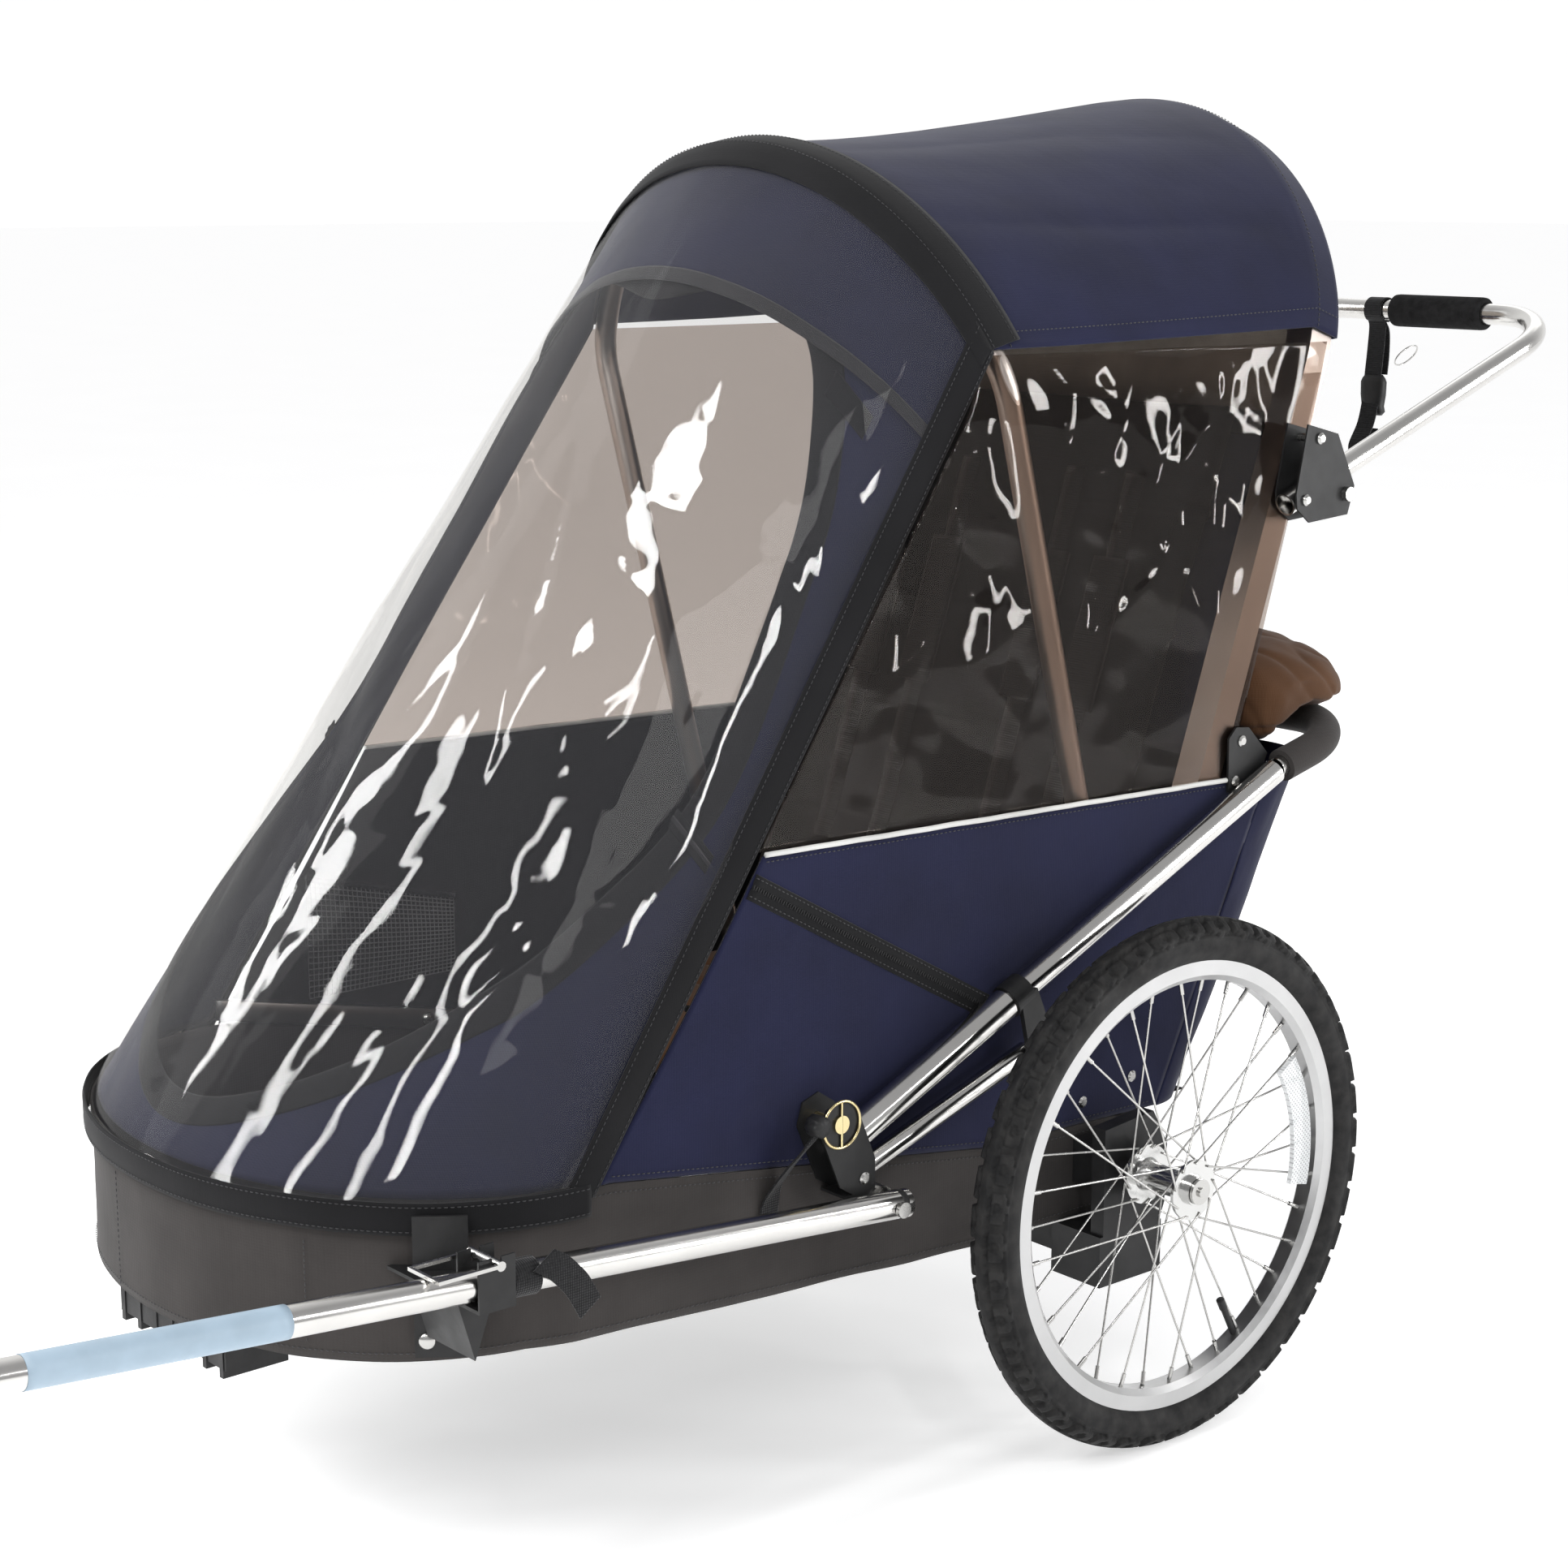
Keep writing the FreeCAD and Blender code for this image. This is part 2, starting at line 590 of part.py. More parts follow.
def binding(first):
    """Webbing round the cover's rim: over the arch, down both edges and round the nose."""
    top_outer = band(front_arch.points(19.5, 17.0, first), front_arch.points(17.5, 17.0, first))
    low_outer = band(nose_points(327.0, 7.6), nose_points(327.0, 5.6))
    skin = stretched(top_outer, low_outer)
    width = 32.0
    slope = math.atan2(672.0, 451.0)
    edge = [(-119.0, 996.0), (-570.0, 324.0)]
    across = width / math.sin(slope)
    arch_back = front_arch.lift(0.0, float(D.front_height) + 60.0, 0.0)
    strip = [(edge[0][0] + 40, edge[0][1]), (edge[0][0] - across, edge[0][1] + 20), (edge[1][0] - across - 60, 300),
             (edge[1][0] + 60, 300)]
    sides = side_prism(strip)
    arch_strip = [(edge[0][0] + 40, 930), (arch_back.y + 60, arch_back.z + 60),
                  (arch_back.y - 38 - 30, arch_back.z + 60), (edge[0][0] - 62, 930)]
    hem = side_prism([(-900, 300), (-900, 353), (-560, 353), (-500, 300)])
    return skin.common(sides.fuse(side_prism(arch_strip)).fuse(hem)).Solids[0]


# ------------------------------------------------------------------------------------ hoops
def pipe_body(arch, section, start_y):
    """A bent tube: a path sketch in the hoop's plane and a hollow section at its left foot."""
    body = doc.addObject("PartDesign::Body", "Hoop")
    path = sketch(body, "XZ_Plane", "Path")
    half, leg, top = arch.half, arch.leg, arch.height
    turn_x, turn_z = arch.flat(arch.turn)
    mid_x, mid_z = arch.flat(arch.turn / 2)
    left_leg = Part.LineSegment(V(half, start_y, 0), V(half, leg, 0))
    left_corner = Part.Arc(V(half, leg, 0), V(mid_x, mid_z, 0), V(turn_x, turn_z, 0))
    crown = Part.Arc(V(turn_x, turn_z, 0), V(0, top, 0), V(-turn_x, turn_z, 0))
    right_corner = Part.Arc(V(-turn_x, turn_z, 0), V(-mid_x, mid_z, 0), V(-half, leg, 0))
    right_leg = Part.LineSegment(V(-half, leg, 0), V(-half, start_y, 0))
    for piece in (left_leg, left_corner, crown, right_corner, right_leg):
        path.addGeometry(piece)
    profile = sketch(body, "XY_Plane", "Section")
    profile.AttachmentOffset = FreeCAD.Placement(V(half, 0, start_y), FreeCAD.Rotation())
    section(profile)
    pipe = body.newObject("PartDesign::AdditivePipe", "Pipe")
    pipe.Profile = profile
    pipe.Spine = (path, [f"Edge{number}" for number in range(1, 6)])
    pipe.Transition = "Transformed"
    return body


def round_section(drawing):
    for radius in (D.front_tube_radius, D.front_tube_radius - D.tube_wall):
        edge = drawing.addGeometry(Part.Circle(V(0, 0, 0), V(0, 0, 1), float(radius)))
        drawing.addConstraint(Sketcher.Constraint("Coincident", edge, 3, -1, 1))
        index = drawing.addConstraint(Sketcher.Constraint("Radius", edge, float(radius)))
        drawing.setExpression(f"Constraints[{index}]", radius.text)


def square_section(drawing):
    for half in (D.rear_tube * 0.5, D.rear_tube * 0.5 - D.tube_wall):
        corners = [(half, half), (-half, half), (-half, -half), (half, -half)]
        first = drawing.GeometryCount
        for index in range(4):
            here, after = corners[index], corners[(index + 1) % 4]
            drawing.addGeometry(Part.LineSegment(V(*map(float, here)), V(*map(float, after))))
        for index in range(4):
            ends = (first + index, 2, first + (index + 1) % 4, 1)
            drawing.addConstraint(Sketcher.Constraint("Coincident", *ends))
            hold_point(drawing, first + index, 1, *corners[index])


def hoops():
    front = pipe_body(front_arch, round_section, -16.0)
    place(front, 0.0, D.pivot_y, D.pivot_z, (1, 0, 0), D.front_lean)
    bore = cylinder(D.bolt_radius + D.running_gap, 640.0, -320.0, D.pivot_y, D.pivot_z, "x")
    node(cut(front, bore), "front_hoop")
    rear = pipe_body(rear_arch, square_section, 225.0)
    place(rear, 0.0, D.pivot_y, D.pivot_z, (-1, 0, 0), -D.rear_lean)
    lug = plate([(-13, -15), (13, -15), (14, 240), (-14, 240)], 3.5, 273.4)
    lugs = pair(lug)
    lugs.Placement = FreeCAD.Placement(V(0, float(D.pivot_y), float(D.pivot_z)),
                                       FreeCAD.Rotation(V(1, 0, 0), float(D.rear_lean)))
    node(cut(fuse(rear, lugs), bore), "rear_hoop")
    node(pair(cylinder(D.bolt_radius, 35.5, 266.5, D.pivot_y, D.pivot_z, "x")), "hoop_pivots")
    screen = doc.addObject("PartDesign::Body", "Screen")
    drawing = sketch(screen, "XZ_Plane", "Outline")
    top = rear_arch.flat(math.radians(40.0), -18.0)
    crown = rear_arch.flat(math.radians(68.0), -18.0)
    outline = [(265, 330), (265, 700), (250, 775), top, crown, (0, float(D.rear_height) - 18)]
    left = [(-x, z) for x, z in outline[:-1]][::-1]
    polygon(drawing, outline + left)
    pad = screen.newObject("PartDesign::Pad", "Pad")
    pad.Profile = drawing
    pad.Length = 2.0
    pad.Midplane = True
    place(screen, 0.0, D.pivot_y, D.pivot_z, (-1, 0, 0), -D.rear_lean)
    node(screen, "rear_screen")


# ------------------------------------------------------------------------------------ braces
def slanted(thing_radius, start, length, slope, x, wall=None):
    """A tube in the side view, rising towards the rear at a slope."""
    tube = doc.addObject("Part::Cylinder", "Tube")
    bind(tube, "Radius", thing_radius)
    bind(tube, "Height", length)
    if wall is not None:
        core = doc.addObject("Part::Cylinder", "TubeBore")
        bind(core, "Radius", wall)
        bind(core, "Height", length)
        tube = cut(tube, core)
    turn = FreeCAD.Rotation(V(1, 0, 0), float(slope) - 90.0)
    tube.Placement = FreeCAD.Placement(V(float(x), *start), turn)
    return tube


def along_brace(distance):
    angle = math.radians(float(D.brace_slope))
    return (float(D.brace_foot_y) + distance * math.cos(angle), float(D.brace_foot_z) + distance * math.sin(angle))


def u_bend(reach, half, radius, tube_radius, bore_radius):
    """A flat U of tube that opens along -Y, in its own XY plane."""
    body = doc.addObject("PartDesign::Body", "Bend")
    path = sketch(body, "XY_Plane", "Path")
    bend = radius * (1 - math.sqrt(0.5))
    points = [V(half, 0, 0), V(half, reach - radius, 0), V(half - bend, reach - bend, 0), V(half - radius, reach, 0),
              V(radius - half, reach, 0), V(bend - half, reach - bend, 0), V(-half, reach - radius, 0), V(-half, 0, 0)]
    path.addGeometry(Part.LineSegment(points[0], points[1]))
    path.addGeometry(Part.Arc(*points[1:4]))
    path.addGeometry(Part.LineSegment(points[3], points[4]))
    path.addGeometry(Part.Arc(*points[4:7]))
    path.addGeometry(Part.LineSegment(points[6], points[7]))
    profile = sketch(body, "XZ_Plane", "Section")
    profile.AttachmentOffset = FreeCAD.Placement(V(half, 0, 0), FreeCAD.Rotation())
    for size in (tube_radius, bore_radius):
        edge = profile.addGeometry(Part.Circle(V(0, 0, 0), V(0, 0, 1), float(size)))
        profile.addConstraint(Sketcher.Constraint("Coincident", edge, 3, -1, 1))
        index = profile.addConstraint(Sketcher.Constraint("Radius", edge, float(size)))
        profile.setExpression(f"Constraints[{index}]", size.text)
    pipe = body.newObject("PartDesign::AdditivePipe", "Pipe")
    pipe.Profile = profile
    pipe.Spine = (path, [f"Edge{number}" for number in range(1, 6)])
    return body


def braces():
    slope, x = D.brace_slope, D.brace_plane
    foot = along_brace(0.0)
    node(pair(slanted(D.brace_radius, foot, D.brace_length, slope, x, D.brace_radius - D.tube_wall)), "brace_tubes")
    node(pair(slanted(D.sleeve_radius, foot, D.sleeve_length, slope, x, D.brace_radius + 0.1)), "brace_sleeves")
    link_slope = math.degrees(math.atan2(72.0, 216.0))
    link = slanted(D.link_radius, (-308.0, 303.0), 216.0, link_slope, x, D.link_radius - D.tube_wall)
    node(pair(link), "brace_links")
    clip_ring = slanted(D.brace_radius + 4.0, along_brace(226.0), 22.0, slope, x, D.brace_radius + 0.1)
    tab = plate([(-124, 426), (-104, 434), (-86, 392), (-86, 372), (-100, 366), (-112, 374)], 5.4, D.brace_plane + 9.6)
    tube_space = slanted(D.brace_radius + 0.1, along_brace(180.0), 120.0, slope, x)
    node(pair(cut(fuse(clip_ring, tab), tube_space)), "brace_clips")
    ear = [(-362, 352), (-356, 372), (-338, 378), (-320, 366), (-300, 318), (-300, 292), (-312, 282), (-340, 300)]
    ears = [plate(ear, 1.4, 306.2), plate(ear, 1.8, D.brace_plane + 14.6)]
    web = box(32.2, 22.0, 2.5, 306.2, -334.0, 288.0)
    hole = cylinder(D.bolt_radius + 0.2, 60.0, 300.0, -340.0, 357.0, "x")
    node(pair(cut(fuse(*ears, web), hole)), "u_brackets")
    ring = doc.addObject("Part::Torus", "WireRing")
    ring.Radius1 = 20.5
    ring.Radius2 = 1.4
    place(ring, 339.85, -340.0, 357.0, (0, 1, 0), 90.0)
    shank = cylinder(D.bolt_radius, 33.6, 306.2, -340.0, 357.0, "x")
    head = cylinder(8.0, 2.2, 338.6, -340.0, 357.0, "x")
    cross_wire = cylinder(1.2, 41.0, 339.85, -340.0, 336.5)
    pin = fuse(shank, head, ring, cross_wire)
    node(pin, "ring_pin_left")
    node(mirrored(pin), "ring_pin_right")
    rail_slope, sleeve_start = math.radians(14.0), 8.0
    reach = (float(D.rail_rear) - 231.0) / math.cos(rail_slope)
    rail = u_bend(reach, float(D.brace_plane), 70.0, D.rail_radius, D.rail_radius - D.tube_wall)
    place(rail, 0.0, 231.0, 588.5, (1, 0, 0), 14.0)
    node(rail, "rear_rail")
    cover = u_bend(reach - sleeve_start, float(D.brace_plane), 70.0, D.rail_cover_radius, D.rail_radius + 0.2)
    cover_y = 231.0 + sleeve_start * math.cos(rail_slope)
    place(cover, 0.0, cover_y, 588.5 + sleeve_start * math.sin(rail_slope), (1, 0, 0), 14.0)
    node(cover, "rail_sleeve")
    outline = [(176, 622), (186, 632), (204, 630), (232, 602), (224, 585), (190, 566), (177, 570)]
    node(pair(plate(outline, 2.5, D.panel_outside + 2.0)), "brace_plates")


def screw(x, y, z, radius=5.5, depth=4.0):
    """A domed screw head standing on a face at x."""
    crown = doc.addObject("Part::Cone", "Crown")
    crown.Radius1 = radius
    crown.Radius2 = radius - 2.0
    crown.Height = 0.5 * depth
    place(crown, x + 0.5 * depth, y, z, (0, 1, 0), 90.0)
    return fuse(cylinder(radius, 0.5 * depth, x, y, z, "x"), crown)


def frame_bolts():
    outside = float(D.panel_outside)
    places = [(outside + 4.5, 194.0, 618.0), (outside + 4.5, 186.0, 580.0), (float(D.brace_plane) + 16.4, -313.0, 303.0),
              (outside, 56.0, 312.0), (outside, -10.0, 300.0)]
    heads = [screw(*spot, depth=2.6) for spot in places]
    arm_bolt = fuse(cylinder(D.bolt_radius, 64.0, 306.2, D.arm_pivot_y, D.arm_pivot_z, "x"),
                    cylinder(7.0, 4.0, 367.4, D.arm_pivot_y, D.arm_pivot_z, "x"),
                    cylinder(14.0, 34.4, 306.2, D.arm_pivot_y, D.arm_pivot_z, "x"))
    node(group(pair(group(*heads)), arm_bolt), "frame_bolts")


# ------------------------------------------------------------------------------------ push handle
def push_handle():
    outline = [(236, 852), (250, 917), (294, 906), (321, 855), (312, 828), (256, 824), (238, 838)]
    plates = [plate(outline, 2.0, 304.4), plate(outline, 2.0, 329.0)]
    pin_hole = cylinder(D.bolt_radius + 0.2, 30.0, 310.0, 308.0, 848.0, "x")
    node(pair(cut(group(*plates), pin_hole)), "handle_plates")
    pin = fuse(cylinder(D.bolt_radius, 30.0, 306.6, 308.0, 848.0, "x"), cylinder(7.0, 6.0, 331.2, 308.0, 848.0, "x"))
    node(pin, "handle_pin_left")
    node(mirrored(pin), "handle_pin_right")
    bolt_places = [(267.0, 903.0), (float(D.handle_pivot_y), float(D.handle_pivot_z))]
    studs = [fuse(cylinder(D.bolt_radius, 22.4, 306.5, y, z, "x"), screw(331.1, y, z)) for y, z in bolt_places]
    node(pair(group(*studs)), "handle_bolts")
    tube = u_bend(float(D.handle_reach) + 14.0, float(D.handle_plane), float(D.handle_bend), D.handle_radius,
                  D.handle_radius - D.tube_wall)
    slope = math.radians(float(D.handle_slope))
    start = V(0, float(D.handle_pivot_y) - 14.0 * math.cos(slope), float(D.handle_pivot_z) - 14.0 * math.sin(slope))
    tube.Placement = FreeCAD.Placement(start, FreeCAD.Rotation(V(1, 0, 0), float(D.handle_slope)))
    bore = cylinder(D.bolt_radius + D.running_gap, 680.0, -340.0, D.handle_pivot_y, D.handle_pivot_z, "x")
    node(cut(tube, bore), "handle_tube")
    bar_y = float(D.handle_pivot_y) + float(D.handle_reach) * math.cos(slope)
    bar_z = float(D.handle_pivot_z) + float(D.handle_reach) * math.sin(slope)
    grip = cut(cylinder(D.grip_radius, D.grip_length, D.grip_inner_x, bar_y, bar_z, "x"),
               cylinder(D.handle_radius + 0.1, D.grip_length, D.grip_inner_x, bar_y, bar_z, "x"))
    node(pair(grip), "handle_grips")
    bar_space = cylinder(D.handle_radius + 0.1, 26.0, 62.0, bar_y, bar_z, "x")
    loop = cut(cylinder(14.0, 26.0, 62.0, bar_y, bar_z, "x"), bar_space)
    tail = box(26.0, 2.6, 152.0, 62.0, bar_y - 1.3, bar_z - 164.0)
    buckle = box(34.0, 12.0, 46.0, 58.0, bar_y - 6.0, bar_z - 104.0)
    node(fuse(loop, tail, buckle), "wrist_strap")


# ------------------------------------------------------------------------------------ tow arm
def along_arm(distance):
    angle = math.radians(float(D.arm_slope))
    return (float(D.arm_pivot_y) - distance * math.cos(angle), float(D.arm_pivot_z) + distance * math.sin(angle))


def forward_tube(radius, start, length, core=None):
    """A tube in the arm's line, from a distance ahead of the arm's pivot."""
    y, z = along_arm(start)
    tube = doc.addObject("Part::Cylinder", "ArmTube")
    bind(tube, "Radius", radius)
    bind(tube, "Height", length)
    if core is not None:
        hollow = doc.addObject("Part::Cylinder", "ArmBore")
        bind(hollow, "Radius", core)
        bind(hollow, "Height", length)
        tube = cut(tube, hollow)
    turn = FreeCAD.Rotation(V(1, 0, 0), 90.0 - float(D.arm_slope))
    tube.Placement = FreeCAD.Placement(V(float(D.arm_plane), y, z), turn)
    return tube


def tow_arm():
    tube = forward_tube(D.arm_radius, -float(D.arm_tail), D.arm_length + D.arm_tail, D.arm_radius - D.arm_wall)
    bore = cylinder(D.bolt_radius + D.running_gap, 60.0, 330.0, D.arm_pivot_y, D.arm_pivot_z, "x")
    node(cut(tube, bore), "tow_arm")
    end = float(D.arm_length)
    sleeve = forward_tube(D.arm_radius + 3.0, end + 0.1, 46.0)
    plug = forward_tube(D.arm_radius - D.arm_wall - 0.1, end - 30.0, 32.0)
    front_y, front_z = along_arm(end + 46.2)
    x = float(D.arm_plane)
    tongue = box(24.0, 30.0, D.hitch_height, x - 12.0, front_y - 30.0, front_z - 15.0)
    eye = cylinder(15.0, D.hitch_height, x, front_y - 42.0, front_z - 15.0)
    eye_bore = cylinder(D.hitch_bore_radius, D.hitch_height, x, front_y - 42.0, front_z - 15.0)
    hitch = node(cut(fuse(tongue, eye), eye_bore), "hitch_eye")
    node(cut(fuse(sleeve, plug), hitch), "hitch_coupler")

    y = float(D.saddle_y)
    run = (float(D.arm_pivot_y) - y) / math.cos(math.radians(float(D.arm_slope)))
    centre_z = along_arm(run)[1]
    radius = float(D.arm_radius)
    low = centre_z - radius - 5.0
    width = float(D.saddle_width)
    inner, outer = x - radius - 2.6, x + radius + 0.6
    strip = box(3.0, 44.0, 118.0, 261.0, -722.0, 226.0, (0, 0, 1), -37.3)
    outer_face = outer + 2.0
    gusset = plate([(y - 2, 246), (y + width / 2, low), (y - width / 2, low)], 66.0, 274.0)
    floor = box(outer_face - 240.0, width, 3.0, 240.0, y - width / 2, low)
    height = 2 * radius + 17.4
    ears = [box(2.0, width, height, side, y - width / 2, low) for side in (inner, outer)]
    pin_z = centre_z + radius + 7.0
    slot = box(outer - inner + 8.0, 2 * float(D.bolt_radius) + 0.6, 40.0, inner - 3.0, y - float(D.bolt_radius) - 0.3,
               pin_z - float(D.bolt_radius) - 0.2)
    tub_space = fabric(prism(tub_outline(-0.3, float(D.tub_rear), float(D.tub_rear_corner), 180.0), 200.0))
    node(cut(cut(fuse(strip, gusset, floor, *ears), slot), tub_space), "saddle_bracket")
    reach = outer - inner + 14.0
    shank = cylinder(D.bolt_radius, reach, inner - 6.0, y, pin_z, "x")
    legs = [box(3.0, 58.0, 3.0, side, y - 54.0, pin_z - 1.5) for side in (inner - 6.0, inner - 6.0 + reach - 3.0)]
    bow = box(reach, 3.0, 3.0, inner - 6.0, y - 57.0, pin_z - 1.5)
    node(fuse(shank, *legs, bow), "saddle_pin")


# ------------------------------------------------------------------------------------ inside
def interior():
    lean = FreeCAD.Rotation(V(1, 0, 0), float(D.rear_lean))
    pivot = V(0, float(D.pivot_y), float(D.pivot_z))
    back = box(520.0, 24.0, 600.0)
    back.Placement = FreeCAD.Placement(pivot + lean.multVec(V(-260.0, -44.0, 60.0)), lean)
    node(back, "seat_back")
    cushion = doc.addObject("Part::Fillet", "Cushion")
    cushion.Base = box(510.0, 330.0, 56.0, -255.0, -290.0, 296.0)
    doc.recompute()
    cushion.Edges = [(edge, 14.0, 14.0) for edge in range(1, 13)]
    node(cushion, "seat_cushion")
    supports = [box(500.0, 20.0, 48.0, -250.0, y, 248.0) for y in (-270.0, 10.0)]
    node(fuse(*supports, box(500.0, 300.0, 3.0, -250.0, -270.0, 293.0)), "seat_base")
    straps = []
    for x in (-170.0, -90.0, 60.0, 140.0):
        strap = box(30.0, 3.0, 420.0)
        strap.Placement = FreeCAD.Placement(pivot + lean.multVec(V(x, -47.3, 150.0)), lean)
        straps.append(strap)
    node(group(*straps), "harness")
    pocket = plate([(-478, 352), (-300, 352), (-300, 428), (-455, 478)], 8.0, 293.0)
    node(pair(pocket), "mesh_pockets")


wheels()
axle_ends()
base_frame()
tub()
side_panels()
trunk()
cabin()
hoops()
braces()
frame_bolts()
push_handle()
tow_arm()
interior()
doc.recompute()


# ------------------------------------------------------------------------------------ placement, test and export
def at_origin(thing):
    """Move a finished sub-part from the axle's frame to the origin's."""
    moved = doc.addObject("Part::Compound", "Placed")
    moved.Links = [thing]
    moved.Label = thing.Label
    thing.Label = f"{moved.Label}_at_axle"
    place(moved, 0.0, D.axle_from_origin, 0.0)
    return moved


placed = [(thing.Label, at_origin(thing)) for thing in nodes]
doc.recompute()

for made in doc.Objects:
    if "Invalid" in made.State or "Error" in made.State:
        raise SystemExit(f"{made.Name} ({made.Label}) failed: {made.State}")
outline = FreeCAD.BoundBox()
for label, made in placed:
    if made.Shape.isNull() or not made.Shape.isValid():
        raise SystemExit(f"{label} has no valid shape")
    outline.add(made.Shape.BoundBox)

os.makedirs("parts", exist_ok=True)
for label, made in placed:
    made.Shape.exportStep(f"parts/{label}.step")
    print(f"{label:22s} solids {len(made.Shape.Solids):3d}  volume {made.Shape.Volume / 1000:10.1f} cm3")
print("nodes", len(placed), "outline", [round(value, 1) for value in (
    outline.XMin, outline.XMax, outline.YMin, outline.YMax, outline.ZMin, outline.ZMax)])
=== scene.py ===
"""Looks of the child bicycle trailer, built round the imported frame."""
import math

import bmesh
import bpy
from mathutils import Matrix, Vector, noise


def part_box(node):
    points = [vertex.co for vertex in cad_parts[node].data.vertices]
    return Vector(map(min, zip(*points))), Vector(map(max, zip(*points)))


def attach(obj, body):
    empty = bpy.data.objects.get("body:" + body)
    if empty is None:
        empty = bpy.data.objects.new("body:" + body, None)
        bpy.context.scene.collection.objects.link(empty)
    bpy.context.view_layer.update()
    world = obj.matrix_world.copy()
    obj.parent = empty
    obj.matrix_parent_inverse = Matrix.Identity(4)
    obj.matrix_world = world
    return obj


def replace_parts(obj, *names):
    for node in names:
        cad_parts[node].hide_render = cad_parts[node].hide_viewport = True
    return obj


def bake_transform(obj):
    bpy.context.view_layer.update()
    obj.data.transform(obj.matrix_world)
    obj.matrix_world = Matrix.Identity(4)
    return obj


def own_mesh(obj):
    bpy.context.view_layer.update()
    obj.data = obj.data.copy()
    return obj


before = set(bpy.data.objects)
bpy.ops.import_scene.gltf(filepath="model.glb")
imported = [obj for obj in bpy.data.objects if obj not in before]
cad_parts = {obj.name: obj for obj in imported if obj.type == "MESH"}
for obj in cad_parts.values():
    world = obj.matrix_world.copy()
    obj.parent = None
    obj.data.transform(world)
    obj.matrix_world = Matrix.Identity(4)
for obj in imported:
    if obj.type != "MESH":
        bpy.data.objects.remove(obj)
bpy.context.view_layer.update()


def middle(node):
    low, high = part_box(node)
    return [(a + b) / 2 for a, b in zip(low, high)]


AXLE_Y = middle("tyre_left")[1]


def mm(x, y, z):
    """A point given in millimetres from the axle's middle on the floor, in the row frame."""
    return Vector((x / 1000, y / 1000 + AXLE_Y, z / 1000))


def mm_all(points):
    return [mm(*point) for point in points]


def mix(a, b, t):
    return a + (b - a) * t


def clip(t):
    return max(0.0, min(1.0, t))


def smooth(t):
    t = clip(t)
    return t * t * (3 - 2 * t)


SIDES = (("left", 1), ("right", -1))


# ------------------------------------------------------------------------------- materials
class Material:
    """A Principled material and the few nodes that most surfaces here need."""

    def __init__(self, name, color, roughness, metallic=0.0, **sockets):
        self.material = bpy.data.materials.new(name)
        self.material.use_nodes = True
        self.tree = self.material.node_tree
        self.shader = self.tree.nodes["Principled BSDF"]
        self.put("Base Color", (*color, 1.0))
        self.put("Roughness", roughness)
        self.put("Metallic", metallic)
        for socket, value in sockets.items():
            self.put(socket.replace("_", " "), value)
        self.color = color
        self.place = self.node("ShaderNodeTexCoord").outputs["Object"]
        self.height = None

    def put(self, socket, value):
        self.shader.inputs[socket].default_value = value

    def node(self, kind, **values):
        made = self.tree.nodes.new(kind)
        for key, value in values.items():
            if hasattr(made, key):
                setattr(made, key, value)
            else:
                made.inputs[key.replace("_", " ").title()].default_value = value
        return made

    def link(self, a, b):
        self.tree.links.new(a, b)

    def field(self, made, **mapping):
        """The factor of a texture node laid out by object coordinates, turned or stretched where asked."""
        place = self.place
        if mapping:
            mapped = self.node("ShaderNodeMapping", **mapping)
            self.link(place, mapped.inputs["Vector"])
            place = mapped.outputs["Vector"]
        self.link(place, made.inputs["Vector"])
        return made.outputs["Fac"]

    def noise(self, scale, detail=4.0, stretch=None):
        made = self.node("ShaderNodeTexNoise", scale=scale, detail=detail, roughness=0.55)
        return self.field(made, **({"scale": stretch} if stretch else {}))

    def waves(self, period, direction, turn=None):
        """Parallel ridges with a period in metres."""
        made = self.node("ShaderNodeTexWave", scale=math.pi / (10 * period))
        made.bands_direction = direction
        return self.field(made, **({"rotation": turn} if turn else {}))

    def math(self, operation, a, b):
        made = self.tree.nodes.new("ShaderNodeMath")
        made.operation = operation
        for socket, value in zip(made.inputs, (a, b)):
            if isinstance(value, (int, float)):
                socket.default_value = value
            else:
                self.link(value, socket)
        return made.outputs["Value"]

    def tint(self, factor, dark, light, low=0.3, high=0.7):
        """Colour from dark to light by a factor, each given as a share of the base colour or as a colour."""
        ramp = self.tree.nodes.new("ShaderNodeValToRGB")
        for element, place, share in zip(ramp.color_ramp.elements, (low, high), (dark, light)):
            element.position = place
            tone = share if isinstance(share, tuple) else tuple(c * share for c in self.color)
            element.color = (*tone, 1.0)
        self.link(factor, ramp.inputs["Fac"])
        self.link(ramp.outputs["Color"], self.shader.inputs["Base Color"])
        return self

    def rough(self, factor, low, high):
        ramp = self.tree.nodes.new("ShaderNodeMapRange")
        ramp.inputs["From Min"].default_value = 0.3
        ramp.inputs["From Max"].default_value = 0.7
        ramp.inputs["To Min"].default_value = low
        ramp.inputs["To Max"].default_value = high
        self.link(factor, ramp.inputs["Value"])
        self.link(ramp.outputs["Result"], self.shader.inputs["Roughness"])
        return self

    def bump(self, factor, height, strength=1.0):
        made = self.tree.nodes.new("ShaderNodeBump")
        made.inputs["Strength"].default_value = strength
        made.inputs["Distance"].default_value = height
        self.link(factor, made.inputs["Height"])
        if self.height:
            self.link(self.height, made.inputs["Normal"])
        self.height = made.outputs["Normal"]
        self.link(self.height, self.shader.inputs["Normal"])
        return self


